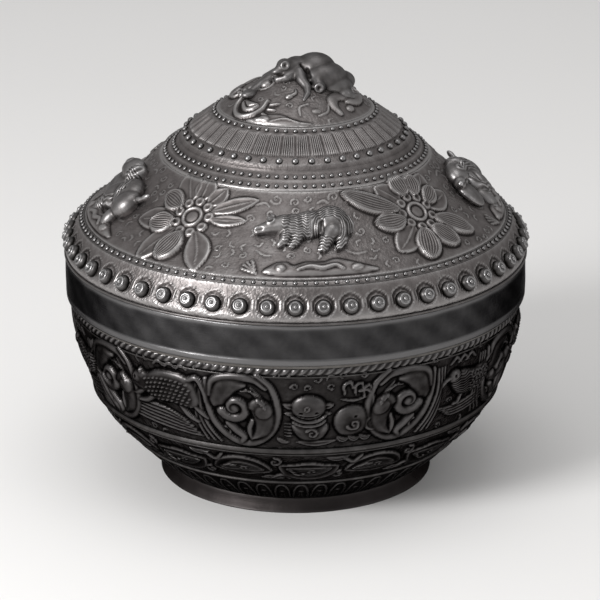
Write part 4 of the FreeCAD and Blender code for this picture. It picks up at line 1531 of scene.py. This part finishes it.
LEOPARD = Motif(-35.5, 13.2, (13.5, 11.2), (  # spotted leopard running to the left, over rocks
    (PLATE, [(-9.4, 1.4), (-8.6, 4.2), (-6.4, 5.6), (-4, 5.4), (-1, 6.9), (3, 7.4), (7, 7), (9.6, 5), (10.8, 1.6),
        (10, -1.6), (7, -2.4), (3, -1.8), (-1, -2), (-4.6, -0.8), (-7.6, 0)], 1.15, 1.7),
    (DOME, (-7.2, 3), (2.4, 2.1), 1.3, 15),
    (DOME, (-6.2, 5.4), (0.8, 0.9), 1.2),
    (DOME, (-8, 3.5), (0.45, 0.45), 0.4, 0, CUT),
    (BAND, [(-9.6, 2), (-8.2, 1.7)], 0.4, 0.4, (1, 1), CUT),
    *((DOME, (x, 5.2 - row * 1.2 - 0.024 * (x - 3) ** 2), (0.58, 0.24), 0.34, 22, ON_TOP) for row in range(6) for x in
        np.arange(10) * 1.35 + 0.68 * (row % 2) - 4.4),
    *((BAND, line, 1.7, 0.95, (1, 0.5)) for line in ([(7.6, 5.6), (10.6, 6.6), (12.2, 3.6), (12.4, 0.4)],
        [(8.6, -0.6), (10.4, -2.8), (12.2, -4.4)], [(5, -1.4), (6.8, -4.4), (9.2, -6)], [(-5.6, 0.4), (-8.2, -1.4),
        (-10.4, -1.8)], [(-2.6, -0.8), (-5.4, -3), (-8.2, -3.6)])),
    *((BAND, [(-11.6 + 0.3 * i, -3.0 - 1.15 * i), (-6, -3.6 - 1.1 * i), (0.6, -4.2 - 1.1 * i), (5.6 + 0.8 * i,
        -6.2 - 0.85 * i)], 1.05, 0.62, (0.5, 0.4)) for i in range(6)),
    *((BAND, [(-2.0 + 3.4 * k, 8.2), (-0.6 + 3.4 * k, 9.4), (1.0 + 3.4 * k, 8.4)], 0.9, 0.45, (0.4, 0.5)) for k in
        range(3)),
    (SCROLL, (-10.8, 0.6), 1.9, -1.1, 60, 0.9, 0.5),
))
ROUND_HEAD = Motif(3.2, 11.2, (8.2, 11), (  # small creature with leaf ears and a crescent collar
    (DOME, (0.1, 2.6), (4.4, 3.6), 1.75),
    (RING, (-0.4, 3), 0.55, 0.35, 0.22, ON_TOP),
    (BAND, [(-2.6, 0.6), (-1, 0.1), (1.4, 0.1), (2.8, 0.8)], 0.5, 0.5, (0.6, 0.6), CUT),
    *((DOME, (x, 1.5), (0.5, 0.35), 0.35, 0, CUT) for x in (-1.8, 2)),
    (LEAF, [(-2.8, 3), (-4.6, 2.9), (-6.2, 3.6)], 1.7, 0.9, 0, 0.5),
    (LEAF, [(2.8, 3), (4.6, 2.8), (6.4, 3.2)], 1.7, 0.9, 0, 0.5),
    (LEAF, [(-2.8, 1.2), (-4.4, 0.6), (-5.8, 0.9)], 1.4, 0.7, 0, 0.5),
    (LEAF, [(2.8, 1.2), (4.4, 0.6), (5.8, 0.4)], 1.4, 0.7, 0, 0.5),
    (BAND, [(-4, -0.2), (-1.8, -1.3), (0.4, -1.6), (2.6, -1.2), (4.2, 0)], 1.3, 1.15, (0.4, 0.4)),
    (BAND, [(-3.6, -1.8), (-1.6, -2.6), (0.6, -2.8), (2.8, -2.4), (4.2, -1.4)], 1.1, 1.2, (0.4, 0.4)),
    (PLATE, [(-3.8, -2.2), (-3.4, -5), (-1, -7.4), (3, -7.2), (5, -4.6), (4.6, -2.4), (1.6, -2.8)], 1.3, 2.2),
    (SCROLL, (1, -4.8), 1.5, -1.2, 150, 0.8, 0.35, ON_TOP),
    *((BAND, [(-5.6, -2.2 - k * 0.95), (-4, -2.4 - k * 0.95)], 0.55, 0.5, (0.6, 0.6)) for k in range(5)),
    (LEAF, [(-3, -8), (2, -8.6), (7.4, -7.8)], 1.8, 0.7, 0, 0.6),
    (LEAF, [(-4.4, -8.2), (-6.2, -7.8), (-7.6, -6.6)], 1.4, 0.6, 0, 0.5),
))
ROUNDEL = Motif(14.6, 11.1, (6.6, 11.6), (  # comma roundel with a small boss, and leaves above it
    (PLATE, [(-4.7, -2.2), (-3.8, 1.1), (-0.6, 2.8), (2.7, 1.8), (4.1, -1.4), (3.4, -4.8), (0.4, -6.4), (-3, -5.8)],
        1.25, 2.5),
    (SCROLL, (0.2, -2.4), 1.7, 1.1, 200, 0.9, 0.4, ON_TOP),
    (DOME, (0.6, -3), (0.9, 0.9), 0.4, 0, ON_TOP),
    (DOME, (0.6, -0.2), (0.45, 0.45), 0.3, 0, CUT),
    *((BAND, [(x, y - 2.4), (x - 0.2, y), (x + r, y + 0.8), (x + r + 0.6, y - 0.8)], 0.8, 0.7, (0.5, 0.6)) for x, y, r
        in ((-2.4, 8.4, 1.4), (0.4, 8, 1.3), (2.6, 7.2, 1.2))),
    (BAND, [(-3, 4.6), (0, 4), (3.2, 4.8)], 0.8, 0.5, (0.5, 0.5)),
    *((LEAF, [(x, -6.6), (x + 1.6, -7.8), (x + 3.2, -7.4)], 1.6, 0.7, 3, 0.5) for x in (-3.6, -0.8, 2)),
    (SCROLL, (5.4, -3.4), 2.3, 1.1, 120, 1.7, 0.95),
    (BAND, [(1.4, 6.6), (3.4, 6.8), (4.8, 4.6), (4.6, 1.6)], 1.3, 0.75, (0.5, 0.5)),
))
SCALY_BIRD = Motif(50, 12.8, (12, 11.4), (  # bird with a scaly breast and long striped tail feathers
    (PLATE, [(-7, 2.2), (-5.4, 4.4), (-2.6, 4.6), (1.6, 3.8), (6.4, 4.4), (8, 2), (6.4, -1.6), (2.4, -3.4),
        (-2.6, -2.8), (-5.6, -0.6)], 1.25, 2.2, (8, 0.8), 0.2),
    *((RING, (0.4 + i * 1.3 + 0.6 * (row % 2), 2.6 - row * 1.3), 0.6, 0.4, 0.22, ON_TOP) for row in range(4) for i in
        range(5)),
    (DOME, (-6, 3.4), (2.2, 2), 1.4),
    (DOME, (-6.4, 3.9), (0.45, 0.45), 0.4, 0, CUT),
    (BAND, [(-7.6, 3.4), (-9.4, 2.6), (-9.8, 1.2)], 1, 1, (1, 0.3)),
    *((BAND, [(5, 3.0 - k * 1.3), (8, 5.4 - k * 2), (10.4, 6.2 - k * 2.9)], 1.1, 0.85, (0.7, 0.4)) for k in range(4)),
    *((BAND, [(-8.0 + k * 2.8, 7), (-6.0 + k * 2.8, 8.4), (-4.2 + k * 2.8, 7)], 0.9, 0.55, (0.5, 0.5)) for k in
        range(3)),
    *((BAND, [(-9.0 + k, -5.6 - 0.7 * k), (-3, -6.0 - 0.9 * k), (4, -5.0 - 1.1 * k), (8.6, -3.4 - 1.3 * k)], 0.85,
        0.55, (0.4, 0.4)) for k in range(4)),
    (BAND, [(-2, -3), (-2.6, -5), (-4.4, -5.4)], 0.9, 0.8, (1, 0.4)),
))


def big_scroll(angle: float, hand: int) -> Motif:
    """Large double comma scroll in an open ring.

    Args:
        angle: Degrees of its middle.
        hand: One to wind as at the left of the front, minus one as at the right.

    Returns:
        The motif.
    """
    across_step, up_step = 3.95, 3.55

    def at(places: list[Point]) -> list[Point]:
        """Millimetres of places that are counted in small steps, so many to each millimetre."""
        return [(hand * across / across_step, up / up_step) for across, up in places]

    return Motif(angle, 12.2, (11, 11.6), (
        (BAND, at([(-34, 28), (-33, 4), (-26, -16), (-8, -32), (12, -34), (30, -20), (37, 2), (32, 24), (18, 36)]),
            2.2, 0.85, (0.4, 0.5)),
        (BAND, at([(-30, 14), (-26, 28), (-8, 33), (14, 32), (26, 24)]), 2.4, 0.9, (0.5, 0.4)),
        (PLATE, at([(-31, 12), (-22, 30), (-4, 34), (8, 26), (-4, 18), (-10, 8), (-20, 2), (-28, 2)]), 1, 2.2),
        (SCROLL, (-1.2 * hand, 1), 3.6, 1.4 * hand, 205 if hand > 0 else -25, 3.3, 1.35),
        (DOME, (-1.2 * hand, 1), (1.7, 1.8), 1.5),
        (PLATE, at([(6, 6), (18, 14), (32, 7), (35, -8), (30, -22), (20, -29), (8, -30), (13, -20), (13, -8),
            (10, 0)]), 1.35, 2.6),
        (DOME, at([(24, 2)])[0], (2.3, 1.9), 0.35, 30, ON_TOP),
        (BAND, at([(-12, -14), (-5, -21), (2, -27), (0, -33)]), 2.3, 1.15, (0.8, 0.5)),
        (BAND, at([(12, -10), (8, -20), (10, -30)]), 1.5, 0.8, (0.8, 0.5)),
        (SCROLL, at([(-16, -24)])[0], 1.5, -1.0 * hand, 90, 0.9, 0.6),
        *((BAND, at([(2 + 5 * k, 20 + 2 * k), (12 + 4 * k, 20 - 2 * k), (18 + 4 * k, 12 - 3 * k)]), 0.7, 0.35,
            (0.5, 0.5), ON_TOP) for k in range(3)),
        *((BAND, at([(-40 - 4 * k, 26), (-41 - 4 * k, 2), (-34 - 5 * k, -20), (-22 - 7 * k, -36)]), 1.1,
            0.55 - 0.08 * k, (0.5, 0.5)) for k in range(3)),
    ))


# The bowl

@dataclass
class BowlSheets:
    """The bowl's chased sheets, its rope and its foot.

    Attributes:
        curve: Radius and height of points along its side.
        repeats: Degrees at which the main frieze starts again.
        rope_count: Turns of the rope.
        arch_count: Arches of the lowest border.
        almond_count: Almond scrolls of the lower frieze.
        wire_height: Height of the wire between these two.
    """

    curve: tuple[Point, ...] = ((33.98, 3.6), (38.91, 7.5), (43, 11.8), (48.41, 18), (52.2, 24),
                                (54.89, 32.4), (56.9, 40.5), (57.68, 47.9))
    repeats: tuple[float, ...] = (0, 120, 240)
    rope_count: int = 166
    arch_count: int = 52
    almond_count: int = 18
    wire_height: float = 11.8

    def between(self, low: float, high: float, step: float) -> np.ndarray:
        """Outline of the bowl between two heights.

        Args:
            low: Lower height.
            high: Upper height.
            step: Widest gap between its points.

        Returns:
            One row of radius and height for each point.
        """
        whole = smooth_run(list(self.curve), 0.05)
        return spaced(whole, *np.interp((low, high), whole[:, 1], lengths(whole)), step)

    def main_frieze(self) -> Sheet:
        """Frieze of beasts and scrolls between the waist wire and the rope.

        Returns:
            The frieze, ready to be built.
        """
        sheet = Sheet("bowl_main_frieze", Body.BOWL, ["bowl_shell", "bowl_scroll_medallions", "bowl_beast_panels"],
                      "bowl_silver", self.between(24, 47.9, 0.31), 1080, sunk=0.35)
        motifs = (LEOPARD, big_scroll(-14, 1), ROUND_HEAD, ROUNDEL, big_scroll(28, -1), SCALY_BIRD, big_scroll(66, 1))
        for turn in self.repeats:
            for motif in motifs:
                motif.chase(sheet, turn)
        sheet.fill(seed=23, tries=3600, size=1.1, rise=0.42)
        return sheet

    def lower_frieze(self) -> Sheet:
        """Almond scrolls and crescents over the arch border.

        Returns:
            The frieze, ready to be built.
        """
        outline = self.between(3.6, 24, 0.33)
        sheet = Sheet("bowl_lower_frieze", Body.BOWL, ["bowl_lower_leaves", "bowl_arch_border"], "bowl_silver",
                      outline, 1000, sunk=0.3)
        wire = float(np.interp(self.wire_height, outline[:, 1], sheet.slope))
        for i in range(self.almond_count):
            patch = sheet.under(360 / self.almond_count * i + 4, (wire + sheet.slope[-1]) / 2, 9.6, 6.9)
            hand = 1 if i % 2 else -1
            patch.leaf([(-7.6, -1.6 * hand), (-3, 0.6 * hand), (3, 0.8 * hand), (7.6, -1.2 * hand)], 8.6, 0.8,
                       rim=0.5, fullness=0.5)
            patch.leaf([(-5.8, -0.7 * hand), (0, 0.9 * hand), (5.8, -0.5 * hand)], 4.6, 0.34, 6, rim=0.2,
                       fullness=0.5, seat=ON_TOP)
            patch.dome((0.6, 0.5 * hand), (1.5, 1.1), 1.05, 10)
            patch.dome((0.6, 0.5 * hand), (0.55, 0.45), 0.5, seat=CUT)
            patch.band([(-4.6, 0.4), (-3, 1.5 * hand), (-1.2, 1.4 * hand)], 0.7, 0.5, (0.4, 0.6), ON_TOP)
            patch.band([(-9, 4.4 * hand), (-6.4, 2.6 * hand), (-4.6, 4.8 * hand)], 1.3, 0.7, (0.5, 0.5))
            patch.scroll((-8.6, -3.2 * hand), 1.7, 1.1 * hand, 90, 1, 0.6)
            patch.leaf([(4, -4.9 * hand), (7, -4.2 * hand), (10, -5.0 * hand)], 1.9, 0.6, 3)
        middle, reach = wire / 2 - 0.4, wire / 2 - 1.4
        for i in range(self.arch_count):
            patch = sheet.under(360 / self.arch_count * i + 2, middle, 2.6, middle)
            patch.band([(-1.75, -reach), (-1.7, reach * 0.2), (-1, reach * 0.85), (0, reach), (1, reach * 0.85),
                        (1.7, reach * 0.2), (1.75, -reach)], 0.7, 0.34, (0.6, 0.6))
            patch.dome((0, reach * 0.15), (0.8, 0.6), 0.24)
            for x in (-0.5, 0.5):
                patch.band([(x, -reach * 0.9), (x * 0.6, -reach * 0.35)], 0.5, 0.16)
        return sheet

    def rope(self) -> Sheet:
        """Half-round rope border under the rim, each turn a slanting slash.

        Returns:
            The border, ready to be built.
        """
        radius, height, half, stand = 57.45, 46.9, 0.95, 0.45
        outline = np.array([(radius + stand * math.cos(a), height + half * math.sin(a))
                            for a in np.linspace(-1.45, 1.45, 11)])
        sheet = Sheet("bowl_rope_border", Body.BOWL, ["bowl_rope_wire"], "wire_silver", outline, self.rope_count * 8,
                      wall=0.7, sunk=0)
        share = sheet.slope[None, :] / sheet.slope[-1]
        wave = np.abs(np.sin(math.pi * (sheet.turns(self.rope_count) - 0.75 * share)))
        sheet.rise = 0.32 * wave ** 2.2 * np.sin(math.pi * share) ** 0.6
        return sheet

    def foot(self) -> Sheet:
        """Flared satin strip that the box stands on.

        Returns:
            The strip, ready to be built.
        """
        sheet = Sheet("bowl_foot_strip", Body.BOWL, ["foot_ring"], "foot_silver",
                      smooth_run([(35.6, 0), (34.55, 1.7), (33.98, 3.6)], 0.3), 480, wall=1.3, sunk=0.1)
        turns = sheet.turns(math.tau)
        sheet.rise = 0.03 * np.sin(13 * turns + sheet.slope[None, :]) + 0.02 * np.sin(37 * turns) - 0.04
        sheet.rise[:, [0, -1]] = -0.08
        return sheet

    def floor_plate(self) -> Sheet:
        """Plain floor of the bowl, slightly dished, that closes it below.

        Returns:
            The floor, ready to be built.
        """
        outline = np.array([(33.6, 3.62), (24, 3.7), (12, 3.75), (0, 3.78)])
        return Sheet("bowl_floor_plate", Body.BOWL, [], "bowl_silver", outline, 96, wall=-0.8, sunk=0)


# Stage

@dataclass(frozen=True)
class Lamp:
    """Soft square lamp that looks at the box.

    Attributes:
        name: Its name.
        place: Metres.
        size: Side in metres.
        watts: Power.
        aim: Where it looks, in metres.
    """

    name: str
    place: Triple
    size: float
    watts: float
    aim: Triple = (0, 0, 0.055)

    def build(self) -> None:
        """Make the lamp."""
        bpy.ops.object.light_add(type="AREA", location=self.place)
        lamp = bpy.context.object
        lamp.name = self.name
        lamp.data.size, lamp.data.energy = self.size, self.watts
        lamp.rotation_euler = (Vector(self.aim) - Vector(self.place)).to_track_quat("-Z", "Y").to_euler()


@dataclass(frozen=True)
class Studio:
    """Plain pale floor, soft lamps and an even surround.

    Attributes:
        floor_size: Side of the floor in metres.
        floor_tones: Its two mixed colours.
        floor_rough: Its roughness.
        surround: Grey of the surround.
        lamps: The lamps.
    """

    floor_size: float = 8.0
    floor_tones: tuple[Triple, ...] = ((0.80, 0.79, 0.78), (0.84, 0.83, 0.82))
    floor_rough: float = 0.9
    surround: float = 0.54
    lamps: tuple[Lamp, ...] = (
        Lamp("key_lamp", (-0.60, -0.53, 0.44), 0.3, 7.2),
        Lamp("top_lamp", (0.0, -0.1, 0.9), 0.5, 1.4),
        Lamp("right_lamp", (0.7, -0.4, 0.4), 0.4, 0.4),
    )

    def build(self) -> None:
        """Make the floor, the world and the lamps."""
        bpy.ops.mesh.primitive_plane_add(size=self.floor_size, location=(0, 0, 0))
        floor = bpy.context.object
        floor.name = "studio_floor"
        material = bpy.data.materials.new("studio_floor_pale")
        material.use_nodes = True
        desk = NodeDesk(material)
        tone = desk.noise(desk.add("ShaderNodeTexCoord").outputs["Object"], 3.0, 2.0)
        ramp = desk.add("ShaderNodeValToRGB")
        for element, colour in zip(ramp.color_ramp.elements, self.floor_tones):
            element.color = (*colour, 1.0)
        desk.join(tone, ramp.inputs["Fac"])
        desk.join(ramp.outputs["Color"], desk.shader.inputs["Base Color"])
        desk.shader.inputs["Roughness"].default_value = self.floor_rough
        dress(floor, material)
        scene = bpy.context.scene
        scene.world = bpy.data.worlds.new("studio_world")
        scene.world.use_nodes = True
        back = next(n for n in scene.world.node_tree.nodes if n.type == "BACKGROUND")
        back.inputs["Color"].default_value = (self.surround, self.surround, self.surround, 1.0)
        back.inputs["Strength"].default_value = 1.0
        for lamp in self.lamps:
            lamp.build()
        scene.view_settings.view_transform = "Standard"


def dress_all(pieces: list[Piece]) -> None:
    """Give every piece and every CAD node that still shows its finish.

    Args:
        pieces: The new pieces.
    """
    made = {}
    for items, table in (({piece.name: piece for piece in pieces}, PIECE_FINISHES), (frame["nodes"], NODE_FINISHES)):
        for name, item in items.items():
            finish = next(finish for word, finish in table if word in name)
            if finish not in made:
                made[finish] = finish.build()
            dress(item, made[finish])


def main() -> None:
    """Build the box's pieces in order and light them."""
    logging.basicConfig(level=logging.INFO)
    PhotoCamera().build()
    lid, trim, bowl = LidSheets(), LidTrim(), BowlSheets()
    sheets = [lid.band(), lid.frieze(), lid.flutes(), lid.top_field(), lid.skirt(),
              bowl.main_frieze(), bowl.lower_frieze(), bowl.rope(), bowl.foot()]
    pieces = [sheet.build() for sheet in sheets]
    pieces += [row.build() for row in trim.rows]
    pieces += [trim.figures(), trim.peak_group(), bowl.floor_plate().build()]
    dress_all(pieces)
    Studio().build()


if __name__ == "__main__":
    main()
